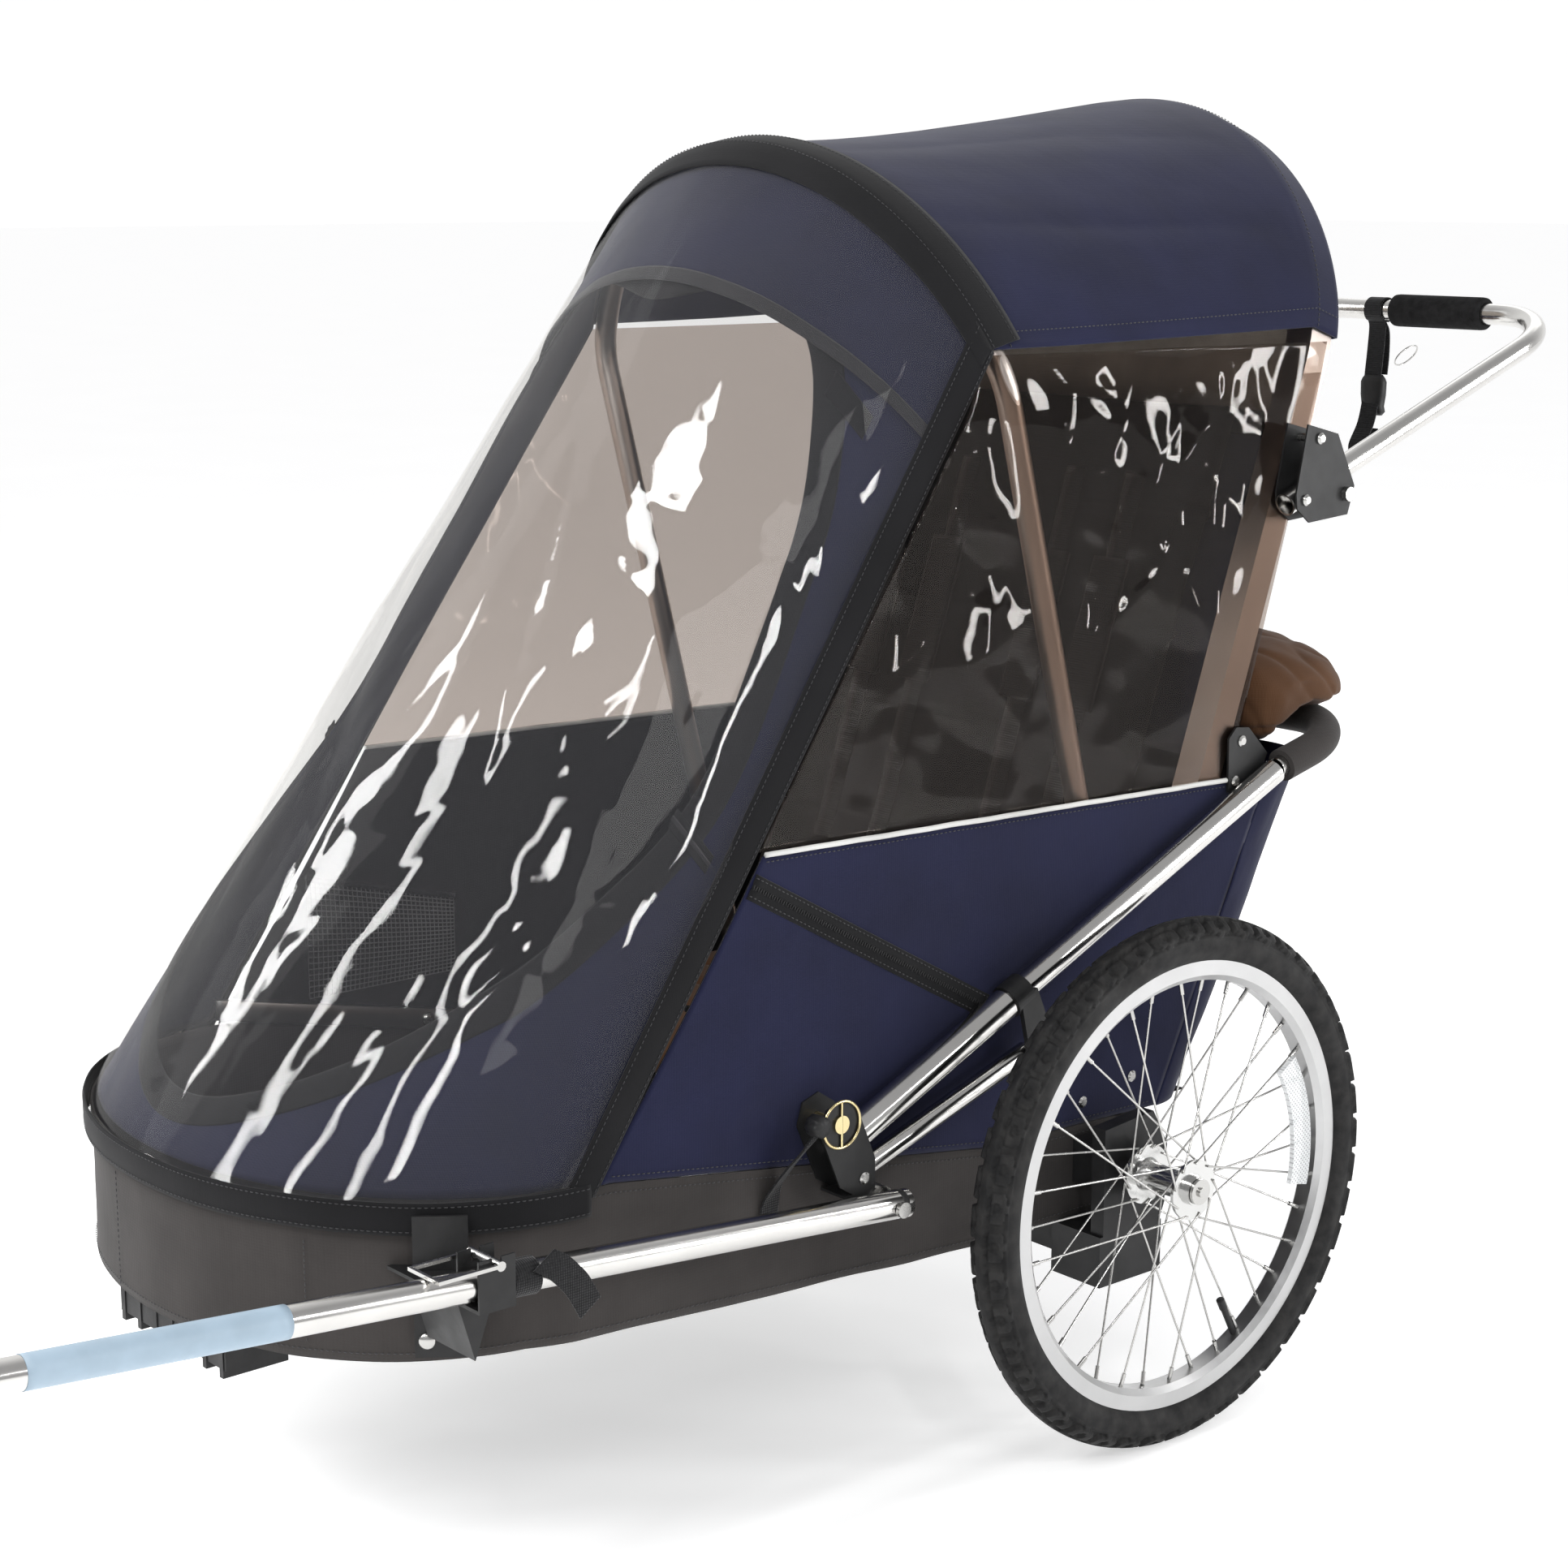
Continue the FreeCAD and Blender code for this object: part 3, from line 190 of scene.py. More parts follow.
def cloth(name, color, period, height, sheen=0.2, dark=0.8, light=1.25, roughness=0.85):
    """Plain weave: ridges along the three axes, fine fuzz and slow changes of tone."""
    made = Material(name, color, roughness, Sheen_Weight=sheen, Sheen_Roughness=0.5, Specular_IOR_Level=0.15)
    weave = made.math("ADD", made.waves(period, "X"), made.waves(period, "Y"))
    weave = made.math("ADD", weave, made.waves(period, "Z"))
    fuzz = made.noise(900, 3)
    patches = made.noise(9, 5)
    made.tint(made.math("ADD", made.math("MULTIPLY", patches, 0.85), made.math("MULTIPLY", fuzz, 0.15)), dark, light)
    made.bump(weave, height * 0.25, 0.35).bump(fuzz, height * 0.25, 0.3).bump(made.noise(45, 4), 0.0009, 0.3)
    return made.material


def webbing(name, color, direction="X", period=0.0022):
    made = Material(name, color, 0.7, Sheen_Weight=0.15, Sheen_Roughness=0.4, Specular_IOR_Level=0.2)
    ribs = made.math("ADD", made.waves(period, direction), made.waves(period, "Z"))
    made.tint(made.noise(300, 3), 0.7, 1.5)
    made.bump(ribs, 0.0004, 0.8).bump(made.noise(60, 3), 0.0006, 0.4)
    return made.material


def metal(name, color, roughness, stretch=(1, 1, 1), scratch=0.06, **more):
    made = Material(name, color, roughness, 1.0, **more)
    lines = made.noise(160, 4, stretch)
    made.rough(lines, max(0.03, roughness - scratch), roughness + scratch)
    made.tint(made.noise(14, 4), 0.93, 1.04)
    made.bump(lines, 0.00008, 0.25)
    return made.material


def painted(name, color, roughness=0.42):
    made = Material(name, color, roughness, Coat_Weight=0.08, Coat_Roughness=0.25, Specular_IOR_Level=0.3)
    made.tint(made.noise(60, 5), 0.8, 1.3)
    made.rough(made.noise(35, 4), roughness - 0.08, roughness + 0.12)
    made.bump(made.noise(1400, 2), 0.00012, 0.5)
    return made.material


def film(name, color, seen, share, ior, coat=0.0, roughness=0.03, crinkle=0.0012):
    """Clear sheet: a tinted view through it, with a share of gloss and haze over that."""
    made = Material(name, color, roughness, IOR=ior, Coat_Weight=coat, Coat_Roughness=0.02, Coat_IOR=1.7)
    clear = made.tree.nodes.new("ShaderNodeBsdfTransparent")
    clear.inputs["Color"].default_value = (*seen, 1.0)
    both = made.tree.nodes.new("ShaderNodeMixShader")
    both.inputs["Fac"].default_value = share
    made.link(clear.outputs[0], both.inputs[1])
    made.link(made.shader.outputs[0], both.inputs[2])
    made.link(both.outputs[0], made.tree.nodes["Material Output"].inputs["Surface"])
    made.bump(made.noise(22, 2, (1.0, 0.6, 0.6)), crinkle, 0.6)
    return made.material


NAVY = cloth("navy_cloth", (0.0090, 0.0105, 0.0355), 0.0016, 0.00025, sheen=0.12)
CHARCOAL = cloth("charcoal_cloth", (0.040, 0.036, 0.0345), 0.0026, 0.0005, sheen=0.1, dark=0.75, light=1.3)
BLACK_CLOTH = cloth("black_cloth", (0.0055, 0.0055, 0.0065), 0.0018, 0.0003, sheen=0.08)
BINDING = cloth("binding_tape", (0.0085, 0.0085, 0.0095), 0.0018, 0.0002, sheen=0.08)
GREY_PIPING = cloth("grey_piping", (0.022, 0.022, 0.025), 0.002, 0.0003)
NET_CORD = cloth("net_cord", (0.20, 0.20, 0.205), 0.002, 0.0003)
WHITE_PIPING = cloth("white_piping", (0.62, 0.62, 0.60), 0.002, 0.0004, sheen=0.3)
BROWN = cloth("brown_cotton", (0.085, 0.040, 0.019), 0.0022, 0.0004, sheen=0.12, dark=0.82, light=1.15, roughness=0.92)
# Rear netting: its own taupe, made lighter still as painted light that stands in for the daylight shining through it
# from behind.
TAUPE_MESH_WITH_PAINTED_BACKLIGHT = cloth("taupe_mesh_painted_backlight", (0.36, 0.325, 0.285), 0.0016, 0.0005, sheen=0.1, dark=0.6, light=1.3)
THREAD = cloth("thread", (0.045, 0.045, 0.048), 0.0008, 0.0001)
WEBBING = webbing("black_webbing", (0.011, 0.011, 0.012), "Y")
POLISHED = metal("polished_tube", (0.66, 0.65, 0.63), 0.16, (1, 0.06, 0.06))
CHROME = metal("bright_handle", (0.64, 0.63, 0.61), 0.20, (1, 0.08, 0.08))
SATIN = metal("satin_rim", (0.52, 0.52, 0.52), 0.33, (1, 1, 1), 0.05)
HUB_METAL = metal("hub_metal", (0.62, 0.62, 0.61), 0.17, (0.1, 1, 1))
STEEL = metal("zinc_steel", (0.52, 0.515, 0.50), 0.24)
BRASS = metal("brass_wire", (0.72, 0.60, 0.33), 0.2)
PEARL = metal("pearl_tube", (0.45, 0.395, 0.36), 0.34, (1, 1, 0.1))
BLACK_PAINT = painted("black_powder_coat", (0.012, 0.012, 0.0125))
BLACK_PLASTIC = painted("black_plastic", (0.014, 0.014, 0.0145), 0.5)
CLEAR_VINYL = film("clear_vinyl", (0.10, 0.10, 0.11), (0.975, 0.972, 0.965), 0.11, 1.65, 1.0)
SMOKE_FILM = film("smoke_film", (0.035, 0.028, 0.024), (0.75, 0.70, 0.665), 0.10, 1.6, 0.8)


def rubber():
    made = Material("tyre_rubber", (0.013, 0.013, 0.0135), 0.62, Specular_IOR_Level=0.2)
    made.tint(made.noise(70, 5), (0.009, 0.009, 0.0095), (0.03, 0.029, 0.028), 0.35, 0.8)
    made.rough(made.noise(22, 4), 0.5, 0.78)
    return made.bump(made.noise(600, 3), 0.0002, 0.5).material


def foam():
    made = Material("grip_foam", (0.012, 0.012, 0.0125), 0.9, Specular_IOR_Level=0.15)
    cells = made.node("ShaderNodeTexVoronoi", scale=520.0)
    made.link(made.place, cells.inputs["Vector"])
    made.tint(made.noise(120, 4), 0.7, 1.6)
    return made.bump(cells.outputs["Distance"], 0.0004, 0.6).material


def prism_plastic():
    made = Material("clear_reflector", (0.80, 0.82, 0.83), 0.12, Alpha=0.62, Coat_Weight=1.0, IOR=1.6)
    turn = (math.radians(45), 0, 0)
    cells = made.math("ADD", made.waves(0.0032, "Y", turn), made.waves(0.0032, "Z", turn))
    made.tint(cells, 0.55, 1.15, 0.2, 0.8)
    return made.bump(cells, 0.0006, 0.9).material


def label_band():
    made = Material("pale_band", (0.34, 0.44, 0.53), 0.45)
    return made.tint(made.noise(30, 3), 0.92, 1.06).bump(made.noise(300, 2), 0.0001, 0.4).material


RUBBER, FOAM, PRISM, PALE_BAND = rubber(), foam(), prism_plastic(), label_band()


# ------------------------------------------------------------------------------- mesh helpers
FILM_THICK, CLOTH_THICK, TAPE_THICK, STRAP_THICK = 0.0008, 0.0012, 0.0016, 0.0018


def finish_piece(made, material, body=None, record_slot=None):
    made.data.materials.append(material)
    for face in made.data.polygons:
        face.use_smooth = True
    if body:
        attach(made, body)
    return made


def placed(name, data):
    """A new object in the scene."""
    made = bpy.data.objects.new(name, data)
    bpy.context.scene.collection.objects.link(made)
    return made


def mesh_object(name, points, faces):
    data = bpy.data.meshes.new(name)
    data.from_pydata([tuple(p) for p in points], [], faces)
    data.update()
    return placed(name, data)


def grid(name, rows, loop=False):
    """Quads between rows of points; loop closes each row on itself."""
    width = len(rows[0])
    points = [p for row in rows for p in row]
    faces = []
    for r in range(len(rows) - 1):
        for c in range(width if loop else width - 1):
            after = (c + 1) % width
            faces.append((r * width + c, r * width + after, (r + 1) * width + after, (r + 1) * width + c))
    return mesh_object(name, points, faces)


def area_of(made):
    return sum(face.area for face in made.data.polygons)


def apply_modifiers(made):
    graph = bpy.context.evaluated_depsgraph_get()
    graph.update()
    data = bpy.data.meshes.new_from_object(made.evaluated_get(graph))
    made.modifiers.clear()
    old = made.data
    made.data = data
    bpy.data.meshes.remove(old)


def solid(made, thickness, offset=0.0):
    """Give a sheet its thickness in metres, and leave it one final mesh."""
    skin = made.modifiers.new("Thickness", "SOLIDIFY")
    skin.thickness = thickness
    skin.offset = offset
    skin.use_even_offset = False
    apply_modifiers(made)
    return made


def sheet_piece(name, rows, thickness, material, body=None, record_slot="navy_fabric", loop=False, offset=0.0):
    """A finished sheet over rows of points, and the area of its bare surface in square metres."""
    made = grid(name, rows, loop)
    area = area_of(made)
    solid(made, thickness, offset)
    return finish_piece(made, material, body, record_slot), area


def piece(*values, record_slot="black_fabric", **more):
    """A finished sheet whose area isn't needed."""
    return sheet_piece(*values, record_slot=record_slot, **more)[0]


def closed(name, rings, material, body, record_slot="black_plastic"):
    """A finished solid over rings of points."""
    made = grid(name, rings, loop=True)
    cap_ends(made)
    return finish_piece(made, material, body, record_slot)


def sheet_rows(f, across, along, lift=None):
    """Points of a surface f(u, v) in millimetres, moved along its normal by lift(u, v)."""
    rows = []
    step = 1e-3
    for j in range(along + 1):
        v = j / along
        row = []
        for i in range(across + 1):
            u = i / across
            p = f(u, v)
            if lift:
                du = f(min(1, u + step), v) - f(max(0, u - step), v)
                dv = f(u, min(1, v + step)) - f(u, max(0, v - step))
                normal = du.cross(dv)
                if normal.length > 1e-9:
                    p = p + normal.normalized() * lift(u, v)
            row.append(mm(*p))
        rows.append(row)
    return rows


def mirror_rows(rows):
    return [[Vector((-p.x, p.y, p.z)) for p in row] for row in rows]


def tube(name, points, radius, sides=12, loop=False):
    """A round tube through points in metres."""
    rows = []
    count = len(points)
    up = Vector((0.3, 0.2, 1.0)).normalized()
    for i, p in enumerate(points):
        before = points[(i - 1) % count] if loop or i else p
        after = points[(i + 1) % count] if loop or i < count - 1 else p
        run = (after - before).normalized()
        side = run.cross(up)
        if side.length < 0.05:
            side = run.cross(Vector((1, 0, 0)))
        side.normalize()
        up = side.cross(run).normalized()
        ring = []
        for k in range(sides):
            a = 2 * math.pi * k / sides
            ring.append(p + side * math.cos(a) * radius + up * math.sin(a) * radius)
        rows.append(ring)
    if loop:
        rows.append(rows[0])
    made = grid(name, rows, loop=True)
    if loop:
        weld(made)
    else:
        cap_ends(made)
    return made


def reworked(made, change):
    """Change a mesh and turn its faces outward."""
    work = bmesh.new()
    work.from_mesh(made.data)
    change(work)
    bmesh.ops.recalc_face_normals(work, faces=work.faces)
    work.to_mesh(made.data)
    work.free()


def weld(made):
    reworked(made, lambda work: bmesh.ops.remove_doubles(work, verts=work.verts, dist=1e-6))


def cap_ends(made):
    reworked(made, lambda work: bmesh.ops.holes_fill(work, edges=[e for e in work.edges if e.is_boundary]))


def smooth_path(points, steps=8):
    """A Catmull-Rom line through points."""
    ends = [points[0] * 2 - points[1]] + list(points) + [points[-1] * 2 - points[-2]]
    line = []
    for i in range(1, len(ends) - 2):
        a, b, c, d = ends[i - 1:i + 3]
        for k in range(steps):
            t = k / steps
            line.append(0.5 * ((2 * b) + (c - a) * t + (2 * a - 5 * b + 4 * c - d) * t * t
                               + (3 * b - a - 3 * c + d) * t ** 3))
    line.append(points[-1])
    return line


def strap(name, points, width_way, width, thickness, body):
    """Flat webbing along a line of points, with its width along a direction."""
    way = Vector(width_way).normalized() * width / 2
    rows = [[p - way, p - way * 0.93, p + way * 0.93, p + way] for p in smooth_path(points)]
    return piece(name, rows, thickness, WEBBING, body)


def joined(name, parts):
    """One object from several, whose meshes are already final."""
    work = bmesh.new()
    for part in parts:
        work.from_mesh(part.data)
        bpy.data.objects.remove(part)
    data = bpy.data.meshes.new(name)
    work.to_mesh(data)
    work.free()
    return placed(name, data)


def stitches(name, line, out, length=0.0032, pitch=0.0052, radius=0.00045):
    """A row of sewn stitches along a line of points; out gives each point's outward direction."""
    points, faces = [], []
    travelled, want = 0.0, pitch / 2
    for i in range(len(line) - 1):
        a, b = line[i], line[i + 1]
        gap = (b - a).length
        if gap < 1e-9:
            continue
        run = (b - a) / gap
        while travelled + gap >= want:
            p = mix(a, b, (want - travelled) / gap)
            away = out[i] if isinstance(out, list) else out
            side = run.cross(away).normalized()
            base = len(points)
            for along, size in ((-0.5, 0.35), (-0.25, 1.0), (0.25, 1.0), (0.5, 0.35)):
                centre = p + run * length * along + away * radius * (size - 0.35)
                for turn in range(4):
                    angle = math.pi / 2 * turn
                    points.append(centre + (side * math.cos(angle) + away * math.sin(angle)) * radius * size)
            for ring in range(3):
                for turn in range(4):
                    after = (turn + 1) % 4
                    faces.append((base + ring * 4 + turn, base + ring * 4 + after,
                                  base + ring * 4 + 4 + after, base + ring * 4 + 4 + turn))
            faces.append((base + 3, base + 2, base + 1, base))
            faces.append((base + 12, base + 13, base + 14, base + 15))
            want += pitch
        travelled += gap
    return mesh_object(name, points, faces)


def sew(name, line, out, body=None):
    """A finished row of stitches."""
    return finish_piece(stitches(name, line, out), THREAD, body, "black_fabric")


def ridges(x, y, seed):
    """Sharp creases, from 0 to 1."""
    value = noise.noise(Vector((x, y, seed)))
    return (1 - min(1.0, abs(value) * 3.2)) ** 2


def facets(x, y, seed):
    """Flat facets that meet in creases, from 0 to about 1."""
    near = noise.voronoi(Vector((x, y, seed)))[0]
    return near[1] - near[0]


def ripple(x, y, seed):
    return noise.noise(Vector((x, y, seed)))


def inflate(made, voxel, pressure, cap, frames=20):
    """Puff a closed shape as stuffed cloth, then keep the result."""
    remesh = made.modifiers.new("Remesh", "REMESH")
    remesh.mode = "VOXEL"
    remesh.voxel_size = voxel
    apply_modifiers(made)
    start = [v.co.copy() for v in made.data.vertices]
    simulated = made.modifiers.new("Cloth", "CLOTH")
    settings = simulated.settings
    settings.use_pressure = True
    settings.uniform_pressure_force = pressure
    settings.effector_weights.gravity = 0.0
    settings.quality = 5
    simulated.point_cache.frame_end = frames
    for number in range(1, frames + 1):
        bpy.context.scene.frame_set(number)
    apply_modifiers(made)
    for vertex, rest in zip(made.data.vertices, start):
        move = vertex.co - rest
        if move.length > cap:
            vertex.co = rest + move.normalized() * cap
    bpy.context.scene.frame_set(1)
    made.modifiers.new("Smooth", "SUBSURF").levels = 1
    apply_modifiers(made)
    return made


# ------------------------------------------------------------------------------- the two arches and the tub
class Arch:
    """A hoop of three tangent arcs on two legs, in a plane that leans about its feet."""

    def __init__(self, half, leg, corner, height, lean):
        self.half, self.leg, self.corner, self.height = half, leg, corner, height
        self.lean = math.radians(lean)
        inset, rise = half - corner, height - leg
        self.crown = (inset ** 2 + rise ** 2 - corner ** 2) / (2 * (rise - corner))
        self.inset = inset
        self.turn = math.atan2(leg - (height - self.crown), inset)

    def flat(self, normal, gap=0.0):
        side = 1.0 if normal <= math.pi / 2 else -1.0
        angle = normal if side > 0 else math.pi - normal
        if angle <= self.turn:
            across, up, radius = self.inset, self.leg, self.corner
        else:
            across, up, radius = 0.0, self.height - self.crown, self.crown
        return side * (across + (radius + gap) * math.cos(angle)), up + (radius + gap) * math.sin(angle)

    def lift(self, across, up, ahead=0.0):
        sine, cosine = math.sin(self.lean), math.cos(self.lean)
        return Vector((across, PIVOT[0] - up * sine - ahead * cosine, PIVOT[1] + up * cosine - ahead * sine))

    def edge(self, up):
        return math.asin((up - self.leg) / self.corner)

    def point(self, u, first, gap, ahead):
        """u runs from the left edge to the right edge of the arch, by even arc length."""
        corner = (self.turn - first) * self.corner
        crown = (math.pi - 2 * self.turn) * self.crown
        run = u * (2 * corner + crown)
        if run < corner:
            normal = first + run / self.corner
        elif run < corner + crown:
            normal = self.turn + (run - corner) / self.crown
        else:
            normal = math.pi - self.turn + (run - corner - crown) / self.corner
        return self.lift(*self.flat(normal, gap), ahead)


PIVOT = (61.0, 308.0)
FRONT_LEAN, REAR_LEAN = 14.4, -19.3
FRONT = Arch(290.0, 660.0, 110.0, 881.0, FRONT_LEAN)
REAR = Arch(287.0, 700.0, 170.0, 945.0, REAR_LEAN)
FRONT_EDGE = FRONT.edge(709.0)
REAR_EDGE = REAR.edge(730.0)
HALF, NOSE_Y, NOSE_DEPTH = 306.0, -585.0, 231.0
OUTWARD = Vector((0, -0.75, 0.62))
SEAM_LINE = ((-560, 345), (-135, 282), (140, 274))
HEM_LINE = ((-900, 205), (-640, 222), (-140, 191), (140, 190))


def nose(u, out, height):
    """Half an ellipse round the nose, from the left side to the right side."""
    angle = math.pi * u
    return Vector(((HALF + out) * math.cos(angle), NOSE_Y - (NOSE_DEPTH + out) * math.sin(angle), height))


def front_face(u, t, gap=16.0, ahead=16.0, out=3.6, low=340.0):
    """The face stretched from the front arch (t = 0) to the nose (t = 1)."""
    return mix(FRONT.point(u, FRONT_EDGE, gap, ahead), nose(u, out, low), t)


def inner_face(u, t):
    """The face of the navy cloth, under the clear cover."""
    return front_face(u, t, 4.5, 14.0, -5.0, 347.0)


def height_on(line, y):
    """The height at y on a line of (y, height) points."""
    for (y0, z0), (y1, z1) in zip(line, line[1:]):
        if y <= y1:
            return mix(z0, z1, clip((y - y0) / (y1 - y0)))
    return line[-1][1]


def seam_height(y):
    """Upper edge of the skirt."""
    return height_on(SEAM_LINE, y)


def hem_height(y):
    """Lower edge of the skirt."""
    return height_on(HEM_LINE, y)


def folds_forward(made):
    """Cloth between the tub and the front hoop."""
    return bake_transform(made)


def spans_roof(made):
    """Cloth between the two hoops."""
    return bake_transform(made)


# ------------------------------------------------------------------------------- front of the cabin
def cover_lift(u, t):
    edge = math.sin(math.pi * u) ** 0.35 * math.sin(math.pi * min(1, t)) ** 0.45
    across, along = u * 880, t * 1040
    slant = across + 0.35 * along
    large = facets(slant / 190, along / 400, 3.1) * 8.5
    small = facets(across / 85, along / 130 + 0.4 * math.sin(across / 90), 8.7) \
        * (1.2 + 1.2 * smooth((t - 0.3) / 0.3))
    waves = ripple(across / 65, along / 100, 1.3) * 1.6 + ripple(across / 30, along / 48, 5.9) * 0.25
    return edge * (large + small + waves - 2.4) + 0.8


def rain_cover():
    rows = sheet_rows(lambda u, t: front_face(u, t * 0.995), 190, 210, cover_lift)
    made, area = sheet_piece("clear_rain_cover", rows, FILM_THICK, CLEAR_VINYL, record_slot="vinyl")
    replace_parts(made, "rain_cover")
    folds_forward(made)


# Half of the opening's rim as (u, t) on the face, from its low middle up and round to its high middle.
OPENING = [(0.46, 0.150), (0.37, 0.128), (0.29, 0.118), (0.235, 0.135), (0.205, 0.165), (0.165, 0.225),
           (0.136, 0.285), (0.124, 0.367), (0.112, 0.441), (0.100, 0.52), (0.100, 0.580), (0.118, 0.640),
           (0.157, 0.707), (0.199, 0.773), (0.257, 0.829), (0.323, 0.880), (0.394, 0.918), (0.463, 0.942)]
CENTRE = (0.5, 0.52)


def opening_radius():
    """Distance of the opening's rim from the centre of the face, by angle."""
    table = []
    for u, t in OPENING:
        for side in (u, 1 - u):
            across, along = side - CENTRE[0], t - CENTRE[1]
            table.append((math.atan2(along, across), math.hypot(across, along)))
    table.append((math.pi / 2, 0.945 - CENTRE[1]))
    table.append((-math.pi / 2, CENTRE[1] - 0.155))
    table.sort()
    table = [(table[-1][0] - 2 * math.pi, table[-1][1])] + table + [(table[0][0] + 2 * math.pi, table[0][1])]

    def radius(angle):
        for (a0, r0), (a1, r1) in zip(table, table[1:]):
            if a0 <= angle <= a1:
                return mix(r0, r1, (angle - a0) / max(1e-9, a1 - a0))
        return table[-1][1]
    return radius


RIM = opening_radius()


def rim_point(angle):
    reach = sum(RIM(wrap(angle + d)) for d in (-0.08, -0.04, 0, 0.04, 0.08)) / 5
    return CENTRE[0] + reach * math.cos(angle), CENTRE[1] + reach * math.sin(angle)


def wrap(angle):
    return (angle + math.pi) % (2 * math.pi) - math.pi


def border_point(angle):
    c, s = math.cos(angle), math.sin(angle)
    reach_u = 0.497 / abs(c) if abs(c) > 1e-6 else 9
    reach_t = (0.475 / s if s > 0 else CENTRE[1] / -s) if abs(s) > 1e-6 else 9
    reach = min(reach_u, reach_t)
    return CENTRE[0] + reach * c, CENTRE[1] + reach * s


def front_panel():
    count, rings = 264, 16
    angles = [-math.pi + 2 * math.pi * k / count for k in range(count)]
    spokes = [(rim_point(angle), border_point(angle)) for angle in angles]

    def point(inner, outer, reach, proud=0.0):
        """A point between the rim and the outer edge, raised by the folds and by proud."""
        u, t = mix(inner[0], outer[0], reach), mix(inner[1], outer[1], reach)
        folds = ripple(u * 7, t * 9, 2.2) * 2.2 + ripple(u * 22, t * 26, 4.4) * 0.7
        lift = folds * math.sin(math.pi * clip(u)) ** 0.4
        return mm(*(inner_face(u, t) + OUTWARD * proud + Vector((0, -0.6, 0.5)) * lift))

    rows = [[point(inner, outer, ring / rings) for inner, outer in spokes] for ring in range(rings + 1)]
    made, area = sheet_piece("front_panel_cloth", rows, CLOTH_THICK, NAVY, loop=True)
    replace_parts(made, "front_panel")
    folds_forward(made)

    rows = []
    for share, proud in ((-0.06, 0.2), (0.0, 1.6), (0.5, 1.9), (0.95, 1.6), (1.02, 0.9)):
        row = []
        for inner, outer in spokes:
            width = (inner_face(*outer) - inner_face(*inner)).length
            row.append(point(inner, outer, share * min(25.0 / width, 0.9), proud))
        rows.append(row)
    folds_forward(piece("opening_binding", rows, FILM_THICK, BINDING, loop=True))


def visor():
    def face(u, t):
        return front_face(mix(0.004, 0.996, u), t, 10.5, 15.5, 1.0, 345.0)

    def hem(u):
        return 0.128 + 0.012 * math.sin(math.pi * u) + 0.004 * math.sin(9 * u)

    def wave(u, v):
        return ripple(u * 9, v * 2, 6.6) * 1.6 + ripple(u * 24, v * 5, 3.0) * 0.5

    rows = sheet_rows(lambda u, v: face(u, v * hem(u)), 150, 26, wave)
    made, area = sheet_piece("visor_cloth", rows, CLOTH_THICK, NAVY)
    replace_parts(made, "visor")
    folds_forward(made)
    rows = sheet_rows(lambda u, v: face(u, hem(u) - 0.011 + 0.014 * v), 150, 6,
                      lambda u, v: 1.5 + 0.8 * math.sin(math.pi * v) + wave(u, 1))
    folds_forward(piece("visor_piping", rows, CLOTH_THICK, GREY_PIPING))


def front_strips():
    """Under the clear cover on both sides: the zip across the navy border and the touch-fastener tab."""
    zip_start, zip_end = (0.036, 0.640), (0.112, 0.606)
    strips = (("front_zip_tape", zip_start, zip_end, 0.020, 3.2, BINDING),
              ("front_zip_coil", zip_start, zip_end, 0.004, 4.2, GREY_PIPING),
              ("touch_tab", (0.104, 0.170), (0.180, 0.160), 0.026, 3.6, BLACK_CLOTH))
    profile = ((-0.5, 0.8), (-0.46, 0), (0, 0), (0.46, 0), (0.5, 0.8))
    for side, _ in SIDES:
        for name, start, end, width, proud, material in strips:
            rows = []
            for k in range(25):
                u, t = mix(start[0], end[0], k / 24), mix(start[1], end[1], k / 24)
                u = u if side == "left" else 1 - u
                rows.append([mm(*(inner_face(u, t + w * width) + OUTWARD * (proud - drop))) for w, drop in profile])
            folds_forward(piece(f"{name}_{side}", rows, 0.0009, material))


